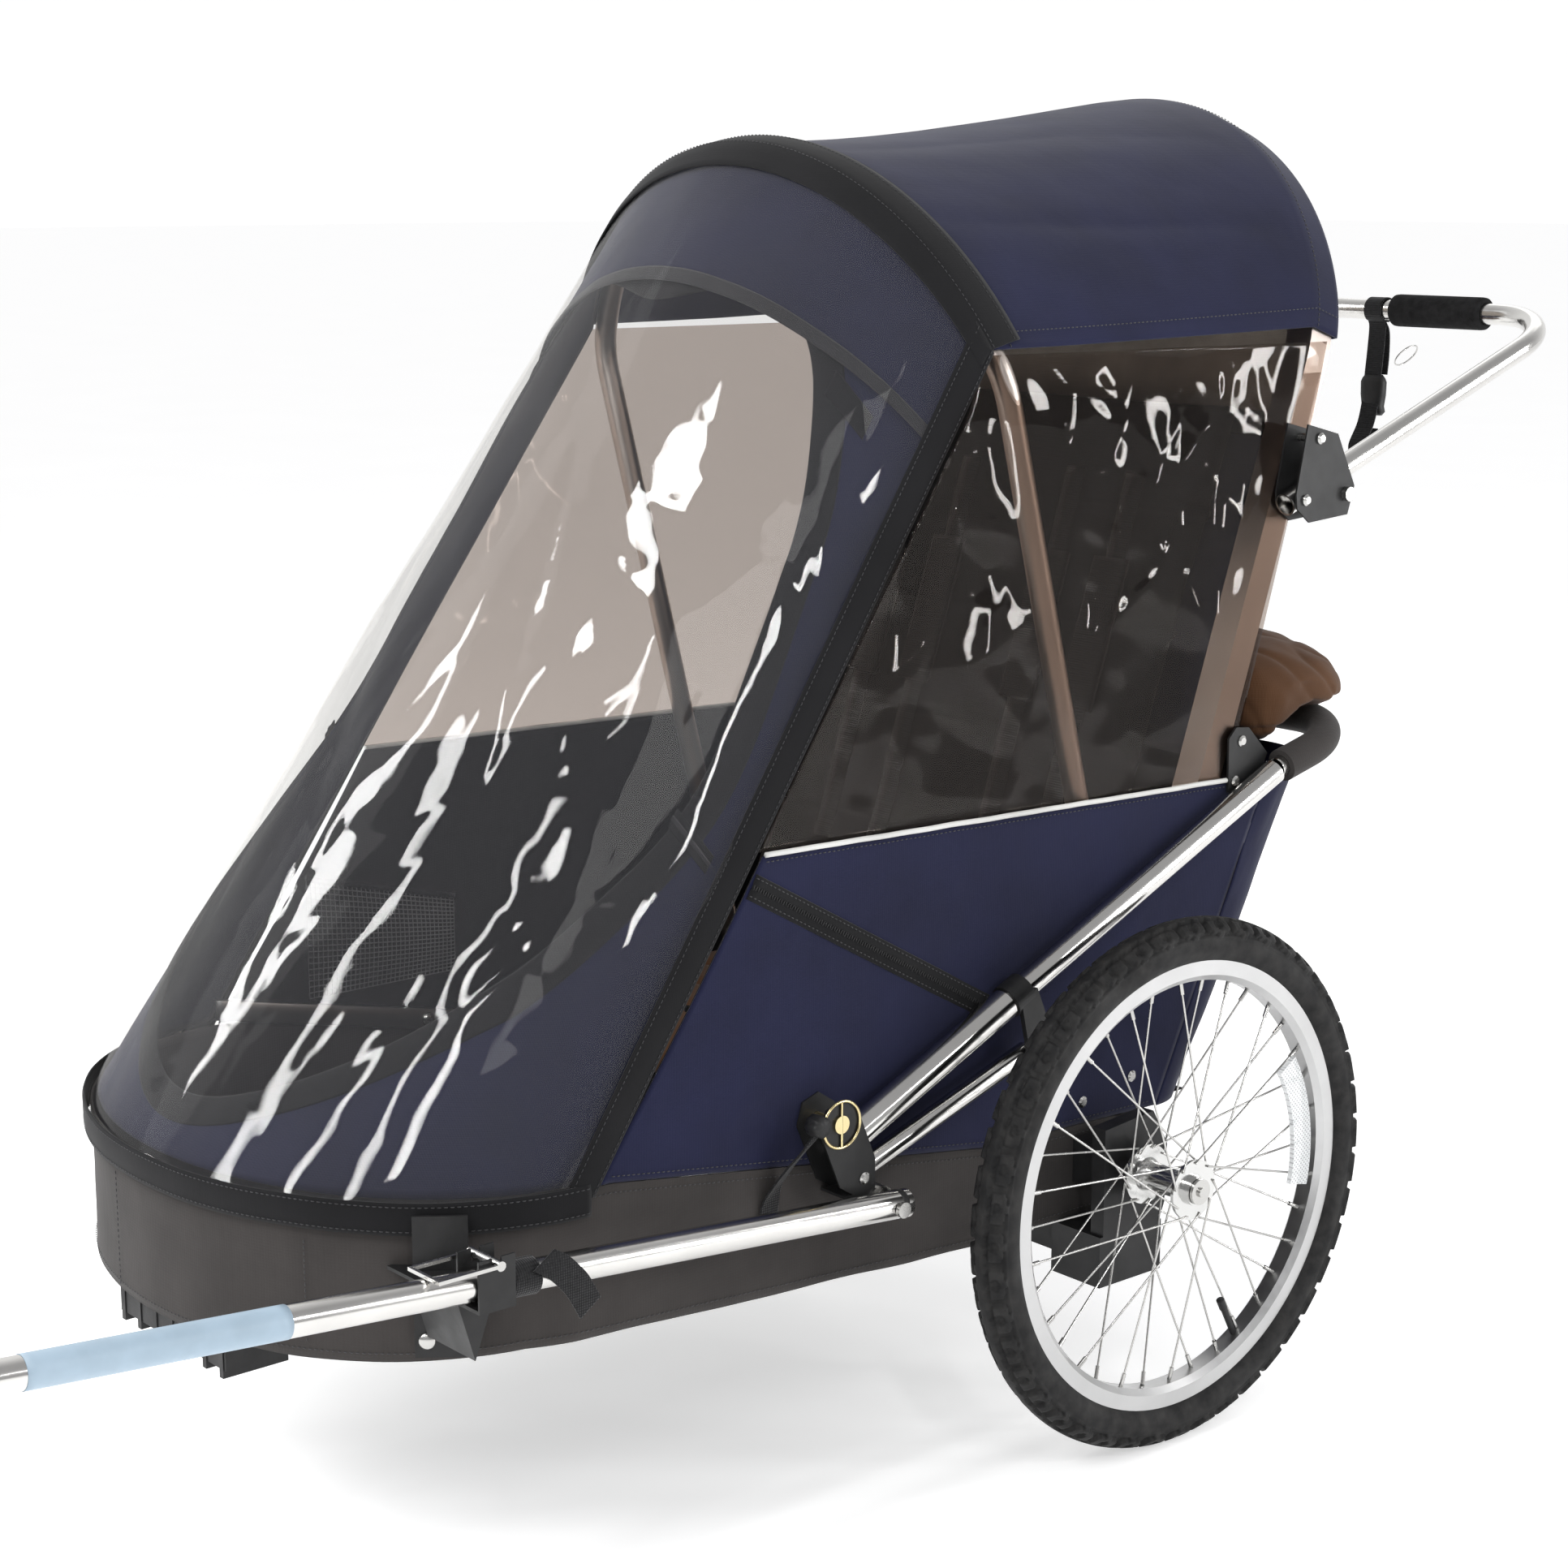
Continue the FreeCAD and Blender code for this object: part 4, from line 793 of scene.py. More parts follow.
def cover_tapes():
    """Binding over the front hoop, down both edges and round the nose, each with its rows of stitching."""
    profile = [(14.6, -23.0), (16.9, -17.0), (18.3, -6.0), (18.8, 4.0), (18.6, 13.0)]
    rows = [[mm(*FRONT.point(u / 160, FRONT_EDGE, gap, ahead)) for u in range(161)] for gap, ahead in profile]
    for t in (0.008, 0.016, 0.022):
        rows.append([mm(*front_face(u / 160, t, 18.4 - 20 * t, 17.0, 5.6)) for u in range(161)])
    arch = piece("arch_binding", rows, TAPE_THICK, BINDING, "front_hoop")
    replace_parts(arch, "cover_binding")
    for number, (gap, ahead) in enumerate(((18.0, -15.0), (19.7, 12.0))):
        line = mm_all(FRONT.point(u / 200, FRONT_EDGE, gap, ahead) for u in range(201))
        away = [(p - mm(0, -100, 900)).normalized() for p in line]
        sew(f"arch_stitches_{number}", line, away, "front_hoop")

    for side, sign in SIDES:
        def strip(u, t, proud=0.0):
            across = mix(-0.006, 0.036, u) if sign > 0 else mix(1.006, 0.964, u)
            p = front_face(across, mix(-0.004, 1.0, t), 17.4, 16.6, 5.0)
            return p + Vector((sign * (0.6 * math.sin(math.pi * u) + proud), 0, 0))
        rows = [[mm(*strip(u, t / 90)) for u in (0, 0.06, 0.25, 0.5, 0.75, 0.94, 1.0)] for t in range(91)]
        for row in rows:
            row.insert(0, row[0] + Vector((-sign * 0.004, 0.0015, 0)))
        folds_forward(piece(f"edge_binding_{side}", rows, TAPE_THICK, BINDING))
        for number, u in enumerate((0.10, 0.88)):
            line = [mm(*strip(u, t / 120, 1.0)) for t in range(121)]
            folds_forward(sew(f"edge_stitches_{side}_{number}", line, Vector((sign, 0, 0))))

    def band(u, v):
        return nose(mix(-0.001, 1.001, u), 5.2 + 0.9 * math.sin(math.pi * v) + ripple(u * 20, 0, 1) * 0.5,
                    mix(325.0, 352.0, v) + ripple(u * 6, 0, 5) * 1.5)

    def away_from_tub(p):
        return (p - mm(0, -500, p.z * 1000)).normalized()

    piece("nose_binding", sheet_rows(band, 150, 8), TAPE_THICK, BINDING, "root")
    for number, v in enumerate((0.12, 0.88)):
        line = [mm(*band(u / 200, v)) for u in range(201)]
        line = [p + away_from_tub(p) * 0.0010 for p in line]
        sew(f"nose_stitches_{number}", line, [away_from_tub(p) for p in line], "root")


# ------------------------------------------------------------------------------- roof
def roof():
    def shell(u, v):
        sag = 7.5 * math.sin(math.pi * clip((v - 0.06) / 0.78)) * (0.35 + 0.65 * math.sin(math.pi * u))
        front = FRONT.point(u, FRONT_EDGE, 14.0 - sag, 8.0)
        crest = REAR.point(u, REAR_EDGE, 18.6 - sag * 0.8, 16.5)
        if v < 0.9:
            return mix(front, crest, v / 0.9)
        return mix(crest, REAR.point(u, REAR_EDGE, 18.6, -18.6), (v - 0.9) / 0.1)

    def creases(u, v):
        edge = math.sin(math.pi * clip((v - 0.06) / 0.80)) ** 0.5
        pull = ridges(u * 5.0 + v * 0.4, v * 1.1, 9.2) * 1.5 + ripple(u * 6, v * 2.2, 4.7) * 2.2
        return edge * (pull + ripple(u * 25, v * 12, 1.7) * 0.4)

    rows = sheet_rows(shell, 150, 90, creases)
    for depth, drop in ((2.0, 1.0), (2.5, 5.0), (1.0, 12.0)):
        rows.append([mm(*REAR.point(u / 150, REAR_EDGE, 18.6 - drop, -18.6 - depth * 0.4)) for u in range(151)])
    made, area = sheet_piece("roof_cloth", rows, CLOTH_THICK, NAVY)
    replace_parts(made, "roof_canopy")
    spans_roof(made)
    for (side, sign), edge, inside in zip(SIDES, (0.0, 1.0), (0.022, 0.978)):
        hem = sheet_rows(lambda a, v: shell(mix(edge, inside, a), mix(0.02, 1.0, v)), 5, 60, lambda a, v: 1.3)
        spans_roof(piece(f"roof_hem_{side}", hem, 0.001, NAVY, record_slot="navy_fabric"))
        line = [mm(*shell(inside, v / 80)) + Vector((sign * 0.0022, 0, 0.0004)) for v in range(2, 80)]
        spans_roof(sew(f"roof_hem_stitches_{side}", line, Vector((sign, 0, 0))))
    for number, (v, body) in enumerate(((0.045, "front_hoop"), (0.91, "rear_frame"))):
        line = [mm(*shell(u / 200, v)) for u in range(201)]
        away = [(p - mm(0, 100, 900)).normalized() for p in line]
        sew(f"roof_seam_stitches_{number}", [p + a * 0.0011 for p, a in zip(line, away)], away, body)


def rear_panel():
    """The cloth behind the seat, in the rear hoop, with its netting window."""
    def face(x, up, behind=0.0):
        return mm(*REAR.lift(x, up, -behind))
    low_edge, seam = 312.0, 640.0
    angles = [REAR.turn * 0.35 + (math.pi - 0.7 * REAR.turn) * k / 60 for k in range(61)]
    top = [REAR.flat(a, -16.0) for a in angles]

    def part(name, low, high, steps, material, slot, flat):
        rows = []
        for step in range(steps + 1):
            row = []
            for across, up in top:
                z = mix(low, min(high, up) if high else max(up, low + 1), step / steps)
                belly = 3.0 * math.sin(math.pi * (z - low_edge) / 620) * (1 - (across / 275) ** 2)
                row.append(face(across, z, 1.0 + belly + ripple(across / 90, z / 80, 3.3) * 1.5))
            rows.append(row)
        made, area = sheet_piece(name, rows, CLOTH_THICK, material, "rear_frame", slot)
        return made

    part("rear_panel_cloth", low_edge, seam, 32, NAVY, "navy_fabric", (0.56, 0.34))
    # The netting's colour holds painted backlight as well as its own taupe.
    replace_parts(part("rear_mesh_window", seam, None, 26, TAUPE_MESH_WITH_PAINTED_BACKLIGHT, "taupe_fabric", (0.56, 0.30)), "rear_screen")
    for side, behind in (("outer", 3.4), ("inner", -1.6)):
        rows = [[face(x, seam + dz, behind + 2.9 * (1 - (x / 275) ** 2) + bump) for x in range(-258, 259, 12)]
                for dz, bump in ((-12, 0), (-11, 0.9), (11, 0.9), (12, 0))]
        piece(f"rear_seam_tape_{side}", rows, 0.001, BINDING, "rear_frame")


# ------------------------------------------------------------------------------- sides
def top_line(y):
    return 593.0 + (y + 398.0) * (580.0 - 593.0) / 581.0


def panel_point(u, v, x=305.0):
    y = mix(mix(-572.0, -398.0, v), mix(90.0, 238.0, v), u)
    return Vector((x, y, mix(seam_height(y) + 1.0, top_line(y), v)))


def window_point(u, v, x=303.6):
    y = mix(mix(-402.0, -133.0, v), mix(183.0, 309.0, v), u)
    z = mix(top_line(y) + 4.0, 994.0 - 3.0 * u, v)
    tuck = smooth((z - 925.0) / 75.0) ** 1.3
    return Vector((x - tuck * mix(13.5, 3.0, smooth(u * 1.15)), y, z))


def sides():
    def panel_lift(u, v):
        edge = (math.sin(math.pi * u) * math.sin(math.pi * v)) ** 0.4 if 0 < u < 1 and 0 < v < 1 else 0
        diagonal = ridges(u * 3.2 + v * 1.4, v * 1.5 - u, 7.7) * 1.3
        return edge * (diagonal + ripple(u * 7, v * 4, 1.1) * 1.8 + ripple(u * 30, v * 16, 2.1) * 0.4) * 0.8

    def off_hoops(y, z):
        front = abs(y - (PIVOT[0] - 0.2568 * (z - PIVOT[1])))
        rear = abs(y - (PIVOT[0] + 0.3502 * (z - PIVOT[1])))
        return smooth((front - 12) / 45) * smooth((rear - 18) / 40)

    def window_lift(u, v):
        edge = (math.sin(math.pi * u) * math.sin(math.pi * v)) ** 0.35 if 0 < u < 1 and 0 < v < 1 else 0
        p = window_point(u, v)
        y, z = p.y, p.z
        crumple = facets(y / 120 + z / 260, z / 110 - y / 400, 5.3) * 6.0 + facets(y / 52, z / 60 + y / 200, 2.9) * 1.8
        return -edge * off_hoops(y, z) * (crumple + ripple(y / 70, z / 60, 8.1) * 2.0 + 0.5)

    panel = sheet_rows(panel_point, 110, 50, panel_lift)
    lining = sheet_rows(lambda u, v: panel_point(u, v, 303.8), 110, 50, panel_lift)
    window = sheet_rows(window_point, 150, 110, window_lift)
    for side, sign in SIDES:
        def pick(rows):
            return rows if sign > 0 else mirror_rows(rows)
        made, area = sheet_piece(f"side_cloth_{side}", pick(panel), CLOTH_THICK, NAVY, "root")
        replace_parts(made, f"side_panel_{side}")
        piece(f"side_lining_{side}", pick(lining), FILM_THICK, BLACK_CLOTH, "root")

        glass, area = sheet_piece(f"side_window_{side}", pick(window), FILM_THICK, SMOKE_FILM, "root", "vinyl")
        if sign > 0:
            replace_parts(glass, "side_windows")
        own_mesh(glass)

        outward = Vector((sign, 0, 0))
        cord = [Vector((sign * 0.3066, mm(0, y, 0).y, (top_line(y) + 1.5 + ripple(y / 40, 0, 2) * 0.6) / 1000))
                for y in range(-396, 241, 6)]
        piping = tube(f"window_piping_{side}", cord, 0.0024, 10)
        finish_piece(piping, WHITE_PIPING, "root", "black_fabric")
        base = [p + Vector((-sign * 0.0003, 0, -0.0062)) for p in cord]
        sew(f"piping_stitches_{side}", base, outward, "root")
        seam = [mm(sign * 306.2, y, seam_height(y) + 6.5) for y in range(-560, 85, 8)]
        sew(f"seam_stitches_{side}", seam, outward, "root")
        zipper(side, sign)


def zipper(side, sign):
    """A zip that slants down the side cloth, with its coil."""
    start, end = Vector((sign * 306.6, -411, 570)), Vector((sign * 306.6, -120, 406))
    run = (end - start).normalized()
    across = Vector((0, -run.z, run.y))
    profile = ((-11, -0.8), (-10.4, 0), (-3, 0.2), (-2.4, 0.9), (2.4, 0.9), (3, 0.2), (10.4, 0), (11, -0.8))
    rows = []
    for step in range(41):
        centre = mix(start, end, step / 40)
        rows.append([mm(*(centre + across * w + Vector((sign * h, 0, 0)))) for w, h in profile])
    piece(f"zip_tape_{side}", rows, 0.0007, BINDING, "root")
    teeth, count = [], 118
    for step in range(count):
        centre = mix(start, end, (step + 0.5) / count) + Vector((sign * 1.6, 0, 0))
        lean = across * 2.0 + run * (0.5 if step % 2 else -0.5)
        teeth.append(tube("tooth", [mm(*(centre - lean)), mm(*(centre + lean))], 0.0007, 6))
    finish_piece(joined(f"zip_coil_{side}", teeth), BLACK_PLASTIC, "root", "black_plastic")
    for number, w in enumerate((-8.0, 8.0)):
        line = [mm(*(mix(start, end, k / 50) + across * w + Vector((sign * 0.7, 0, 0)))) for k in range(51)]
        sew(f"zip_stitches_{side}_{number}", line, Vector((sign, 0, 0)), "root")


# ------------------------------------------------------------------------------- tub
def tub_loop():
    """The tub's outline seen from above as (x, y), with even steps on the sides and round the nose."""
    rear, corner, count_side, count_nose = 100.0, 60.0, 70, 90
    points = []
    for k in range(count_side):
        points.append((HALF, mix(rear - corner, NOSE_Y, k / count_side)))
    for k in range(count_nose):
        p = nose(k / count_nose, 0.0, 0)
        points.append((p.x, p.y))
    for k in range(count_side):
        points.append((-HALF, mix(NOSE_Y, rear - corner, k / count_side)))
    for cx, start in ((-(HALF - corner), math.pi), ((HALF - corner), math.pi / 2)):
        for k in range(13):
            a = start - math.pi / 2 * k / 12
            points.append((cx + corner * math.cos(a), rear - corner + corner * math.sin(a)))
        if start == math.pi:
            for k in range(1, 30):
                points.append((mix(-(HALF - corner), HALF - corner, k / 30), rear))
    return points


def skirt():
    front, rear = -585, 40
    outline = tub_loop()
    rows = []
    for step in range(15):
        v = step / 14
        row = []
        for index, (x, y) in enumerate(outline):
            s = index * 8.0
            fullness = math.sin(math.pi * v)
            inward = -1.2 * fullness + ripple(s / 70, v * 2.0, 4.1) * 1.1 * fullness + ripple(s / 26, v * 4, 9.1) * 0.35
            inward = min(0.0, inward)
            away = (Vector((x, y, 0)) - Vector((0, max(front, min(rear, y)), 0))).normalized()
            z = mix(hem_height(y), seam_height(y), v) + (ripple(s / 60, 0, 2.5) * 1.2 * (1 - v))
            row.append(mm(x + away.x * inward, y + away.y * inward, z))
        rows.append(row)
    made, area = sheet_piece("skirt_cloth", rows, 0.0022, CHARCOAL, "root", "charcoal_fabric", loop=True, offset=1.0)
    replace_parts(made, "skirt_band")
    for number, offset in enumerate((7.0, -7.0)):
        line, away = [], []
        for x, y in outline + outline[:1]:
            z = seam_height(y) - 7.0 if offset > 0 else hem_height(y) + 7.0
            direction = Vector((x, y - max(front, min(rear, y)), 0)).normalized()
            line.append(mm(x, y, z) + direction * 0.0003)
            away.append(direction)
        sew(f"skirt_stitches_{number}", line, away, "root")
    for number, (u, low, high) in enumerate(((0.30, 226, 318), (0.56, 214, 318))):
        line = [mm(*nose(u, 0.9, z)) for z in range(low, high, 6)]
        away = (line[0] - mm(0, -500, line[0].z * 1000)).normalized()
        sew(f"pocket_stitches_{number}", line, away, "root")
    patch = sheet_rows(lambda u, v: nose(mix(0.0, 0.022, u), 2.0, mix(332, 347, v)), 6, 4)
    piece("touch_fastener", patch, 0.001, BINDING, "root")


def trunk():
    half = 305.0

    def wire(s, straight, rear, radius):
        """A U seen from above, s from the left front end to the right front end."""
        side, bend = rear - radius - straight, math.pi / 2 * radius
        back = 2 * (half - radius)
        run = s * (2 * side + 2 * bend + back)
        if run < side:
            return half, straight + run
        run -= side
        if run < bend:
            a = run / radius
            return half - radius + radius * math.cos(a), rear - radius + radius * math.sin(a)
        run -= bend
        if run < back:
            return half - radius - run, rear
        run -= back
        if run < bend:
            a = run / radius
            return -(half - radius) - radius * math.sin(a), rear - radius + radius * math.cos(a)
        run -= bend
        return -half, rear - radius - run

    def wall(u, v):
        low = wire(u, 90.0, 150.0, 58.0)
        high = wire(u, 241.0, 333.0, 78.0)
        return Vector((mix(low[0], high[0], v), mix(low[1], high[1], v), mix(275.5, 588.0, v)))

    def lift(u, v):
        edge = math.sin(math.pi * v) ** 0.5
        pulls = ridges(u * 9 + v, v * 1.3, 6.1) * 2.0
        return -edge * (pulls + ripple(u * 16, v * 3, 2.6) * 2.0 + ripple(u * 60, v * 14, 4.0) * 0.4 - 1.0)

    made, area = sheet_piece("trunk_cloth", sheet_rows(wall, 180, 50, lift), 0.0014, NAVY, "root")
    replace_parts(made, "rear_trunk")
    rows = [[mm(x, y, 277.5 + ripple(x / 60, y / 40, 3)) for x in range(-290, 291, 10)] for y in range(92, 147, 9)]
    piece("trunk_floor", rows, TAPE_THICK, BLACK_CLOTH, "root")


def trunk_cover():
    """The soft lid: a low dome with a gathered hem."""
    # Half width, front, back and height of each ring, in millimetres.
    rings = [(284, 234, 368, 605), (298, 221, 388, 608), (303, 218, 396, 620), (304, 218, 400, 638),
             (300, 219, 396, 656), (291, 222, 382, 673), (270, 228, 358, 687), (230, 236, 332, 697),
             (160, 250, 306, 701), (60, 268, 286, 702)]
    rows = []
    count = 150
    for half, front, back, height in rings:
        row = []
        for k in range(count):
            a = 2 * math.pi * k / count
            x = half * math.copysign(abs(math.cos(a)) ** 0.36, math.cos(a))
            y = (front + back) / 2 + (back - front) / 2 * math.copysign(abs(math.sin(a)) ** 0.42, math.sin(a))
            gather = ripple(k / 3.1, height / 60, 4.2) * 3.0 * (1 - (height - 606) / 120)
            lift = 26.0 * smooth((y - 262) / 40) * smooth((y - 398) / -26) * smooth((642 - height) / 36)
            z = height + lift + ripple(x / 70, y / 40, 5.1) * 4.0
            row.append(mm(x * (1 + gather / 600), y + gather * 0.4, z))
        rows.append(row)
    made = grid("trunk_lid", rows, loop=True)
    cap_ends(made)
    inflate(made, 0.006, 3.0, 0.008)
    normals = [vertex.normal.copy() for vertex in made.data.vertices]
    for vertex, normal in zip(made.data.vertices, normals):
        x, y, z = vertex.co.x * 1000, (vertex.co.y - AXLE_Y) * 1000, vertex.co.z * 1000
        crease = ridges(x / 60, y / 50 + z / 50, 2.2) * 2.4 + ripple(x / 26, y / 22 + z / 22, 7.0) * 1.6
        seam = math.exp(-((z - 619) / 2.6) ** 2) * 2.4 if y < 262 or y > 372 or abs(x) > 270 else 0.0
        vertex.co -= normal * (crease + seam) / 1000
    finish_piece(made, BROWN, "root", "brown_fabric")
    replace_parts(made, "trunk_cover")


# ------------------------------------------------------------------------------- inside
def cushion(name, node, material, size, centre, lean, cap, seams=()):
    """A stuffed pad: a crowned block with sewn channels."""
    half = [s / 2000 for s in size]
    work = bmesh.new()
    bmesh.ops.create_cube(work, size=2.0)
    bmesh.ops.subdivide_edges(work, edges=work.edges, cuts=9, use_grid_fill=True)
    for vertex in work.verts:
        x, y, z = vertex.co
        crown = (1 - abs(x) ** 3) * (1 - abs(y) ** 3)
        thin = 0.62 + 0.38 * crown
        vertex.co = Vector((x * half[0] * (1 - 0.035 * (1 - abs(y)) * abs(x)), y * half[1], z * half[2] * thin))
    data = bpy.data.meshes.new(name)
    work.to_mesh(data)
    work.free()
    made = placed(name, data)
    inflate(made, 0.008, 4.0, cap)
    for vertex in made.data.vertices:
        x, y, z = vertex.co
        dent = sum(math.exp(-((y * 1000 - s) / 7) ** 2) for s in seams) * 0.006
        if z > 0:
            vertex.co.z -= dent
        vertex.co.z += ripple(x * 14, y * 14, 3.0) * 0.0015
    made.data.transform(Matrix.Translation(mm(*centre)) @ Matrix.Rotation(math.radians(lean), 4, "X"))
    finish_piece(made, material, "root", "brown_fabric" if material == BROWN else "black_fabric")
    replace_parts(made, node)
    return made


def seat():
    cushion("seat_pad", "seat_cushion", BROWN, (500, 326, 42), (0, -127, 323), 0, 0.006, (-60, 0, 60))
    back = cushion("back_pad", "seat_back", BLACK_CLOTH, (506, 586, 16), REAR.lift(0, 360.0, 32.0), 90 + REAR_LEAN,
                   0.005, (-180, -60, 60, 180))
    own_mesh(back)
    belts = []
    for x in (-155, -75, 75, 155):
        points = [mm(*REAR.lift(x, up, 46.5 + 1.2 * math.sin(up / 40))) for up in range(150, 571, 30)]
        way = Vector((1, 0, 0)) * 0.0125
        belts.append(solid(grid("belt", [[p - way, p + way] for p in smooth_path(points, 4)]), TAPE_THICK))
        pad = [mm(*REAR.lift(x, up, 50.0)) for up in range(330, 500, 17)]
        rows = [[p + Vector((w, 0, 0)) for w in (-0.021, -0.019, 0, 0.019, 0.021)] for p in pad]
        belts.append(solid(grid("belt_pad", rows), 0.007))
    belts = joined("harness_belts", belts)
    finish_piece(belts, WEBBING, "root", "black_fabric")
    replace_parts(belts, "harness")
    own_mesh(belts)
    for side, sign in SIDES:
        cells = []
        for i in range(34):
            y = -474 + i * 5.2
            top_z = mix(474.0, 430.0, i / 33)
            cells.append([mm(sign * (298 - 5.0 * math.sin(math.pi * j / 20) * math.sin(math.pi * i / 33) ** 0.5),
                             y, mix(354.0, top_z, j / 20)) for j in range(21)])
        net = grid(f"net_pocket_{side}", cells)
        wire = net.modifiers.new("Net", "WIREFRAME")
        wire.thickness = 0.0011
        apply_modifiers(net)
        finish_piece(net, NET_CORD, "root", "black_fabric")
        if sign > 0:
            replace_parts(net, "mesh_pockets")
        profile = ((301.5, -10), (297.5, -10), (296.8, -9), (296.8, 9), (297.5, 10), (301.5, 10))
        rows = []
        for k in range(31):
            y = mix(-578.0, -300.0, k / 30)
            z = mix(362.0, 300.0, k / 30)
            rows.append([mm(sign * x, y, z + dz) for x, dz in profile])
        piece(f"inner_rail_{side}", rows, FILM_THICK, SATIN, "root", record_slot="alloy")
        turns = [a * math.pi / 12 for a in range(24)]
        head = [[mm(sign * x, -338 + r * math.cos(a), 308.5 + r * math.sin(a)) for a in turns]
                for x, r in ((296.9, 7.0), (295.2, 7.0), (293.4, 5.6), (292.2, 3.0), (291.9, 1.2))]
        closed(f"inner_bolt_{side}", head, STEEL, "root", "steel")
        line = [mm(sign * 297, -474 + 171.6 * k / 14, mix(475.0, 431.0, k / 14)) for k in range(15)]
        finish_piece(tube(f"net_hem_{side}", line, 0.003, 8), BINDING, "root", "black_fabric")


# ------------------------------------------------------------------------------- wheels
def tyre(side):
    """A round carcass with a raised tread: scalloped shoulder blocks and a wavy middle rib."""
    centre = Vector(middle(f"tyre_{side}"))
    ring_radius, section = 0.224, 0.023
    blocks, around, across = 44, 1056, 58
    rows = []
    for i in range(around):
        turn = 2 * math.pi * i / around
        phase = (i * blocks / around) % 1.0
        row = []
        for j in range(across + 1):
            bend = math.radians(mix(-148, 148, j / across))
            offset = math.degrees(abs(bend))
            shift = 0.5 if bend > 0 else 0.0
            p = (phase + shift) % 1.0
            scallop = abs(math.sin(math.pi * p))
            raised = 0.0
            if offset < 15 + 3 * math.sin(2 * math.pi * phase * 2):
                raised = 1.0
            elif 21 < offset < 50 + 12 * scallop:
                raised = 1.0 if 0.09 < p < 0.91 else 0.0
                sipe = ((p - 0.5) / 0.17) ** 2 + ((offset - 38) / 8.5) ** 2
                if sipe < 1:
                    raised = 0.25
            elif 62 <= offset < 68:
                raised = 0.35
            radius = section - 0.0036 + 0.0040 * raised
            spread = radius * math.sin(bend)
            reach = ring_radius + radius * math.cos(bend)
            row.append(centre + Vector((spread, reach * math.cos(turn), reach * math.sin(turn))))
        rows.append(row)
    rows.append(rows[0])
    made = grid(f"tyre_tread_{side}", rows)
    weld(made)
    solid(made, 0.003, offset=-1.0)
    finish_piece(made, RUBBER, f"wheel_{side}", "tyre")
    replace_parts(made, f"tyre_{side}")
    stem_turn = math.radians(-62)
    way = Vector((0, math.cos(stem_turn), math.sin(stem_turn)))
    for name, reaches, radius in (("valve", (0.1915, 0.178, 0.160, 0.1595), 0.0031),
                                  ("valve_cap", (0.1592, 0.1585, 0.149, 0.148), 0.0039)):
        stem = tube(f"{name}_{side}", [centre + way * r for r in reaches], radius, 14)
        finish_piece(stem, BLACK_PLASTIC, f"wheel_{side}", "black_plastic")


# ------------------------------------------------------------------------------- straps and small pieces
def handle_pieces():
    _, bar_y, bar_z = middle("handle_grips")
    strap_x, strap_width = 75, 0.022

    def below(x, y, z):
        """A point x millimetres to the left of the bar's middle, y behind it and z below it."""
        return Vector((x / 1000, bar_y + y / 1000, bar_z - z / 1000))

    profile = [(98, 11.3), (98.1, 15.2), (99.5, 16.6), (103, 17.0)] + [(x, 17.0) for x in range(108, 209, 5)] \
        + [(210, 17.0), (213.5, 16.6), (214.9, 15.2), (215, 11.3)]
    turns = [a * math.pi / 24 for a in range(48)]
    for side, sign in SIDES:
        rows = [[Vector((sign * x / 1000, bar_y + r / 1000 * math.cos(a), bar_z + r / 1000 * math.sin(a)))
                 for a in turns] for x, r in profile]
        grip = piece(f"foam_grip_{side}", rows, 0.0006, FOAM, "handle", record_slot="foam", loop=True)
        if sign > 0:
            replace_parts(grip, "handle_grips")

    def near_bar(degrees, radius):
        """A point of the strap round the bar."""
        angle = math.radians(degrees)
        return Vector((strap_x / 1000, bar_y + radius / 1000 * math.cos(angle),
                       bar_z + radius / 1000 * math.sin(angle)))

    wrap_line = [near_bar(a, 12.6) for a in range(-80, 265, 15)]
    tail = [below(strap_x, dy, dz) for dy, dz in ((-2, 20), (-4, 45), (-7, 72), (-9, 95), (-16, 122), (-30, 146),
                                                (-24, 158), (-12, 150), (-9, 128))]
    loop = strap("wrist_loop", wrap_line + tail, (1, 0, 0), strap_width, STRAP_THICK, "handle")
    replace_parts(loop, "wrist_strap")
    second = [near_bar(-100, 12.9)] + [below(strap_x + 2, dy, dz) for dy, dz in ((2, 24), (3, 48), (1, 70))]
    strap("wrist_strap_back", second, (1, 0, 0), strap_width, STRAP_THICK, "handle")
    # Drop below the bar, half width and half depth of each ring of the buckle, in millimetres.
    rings = ((70, 11, 3.0), (74, 14, 5.0), (78, 15.5, 6.0), (92, 15.0, 6.2), (104, 13.0, 6.0), (110, 15, 5.4),
             (114, 12, 3.0))
    turns = [2 * math.pi * k / 32 for k in range(32)]
    rows = [[below(strap_x, -5, z) + Vector((w / 1000 * math.copysign(abs(math.cos(a)) ** 0.5, math.cos(a)),
                                           d / 1000 * math.copysign(abs(math.sin(a)) ** 0.5, math.sin(a)), 0))
             for a in turns] for z, w, d in rings]
    closed("wrist_buckle", rows, BLACK_PLASTIC, "handle")
    turns = [2 * math.pi * k / 40 for k in range(40)]
    wire = [Vector((0.090 + 0.010 * math.cos(a), bar_y + 0.030 + 0.014 * math.sin(a),
                    bar_z - 0.050 + 0.011 * math.cos(a))) for a in turns]
    finish_piece(tube("wrist_wire_loop", wire, 0.0009, 8, loop=True), STEEL, "handle", "steel")


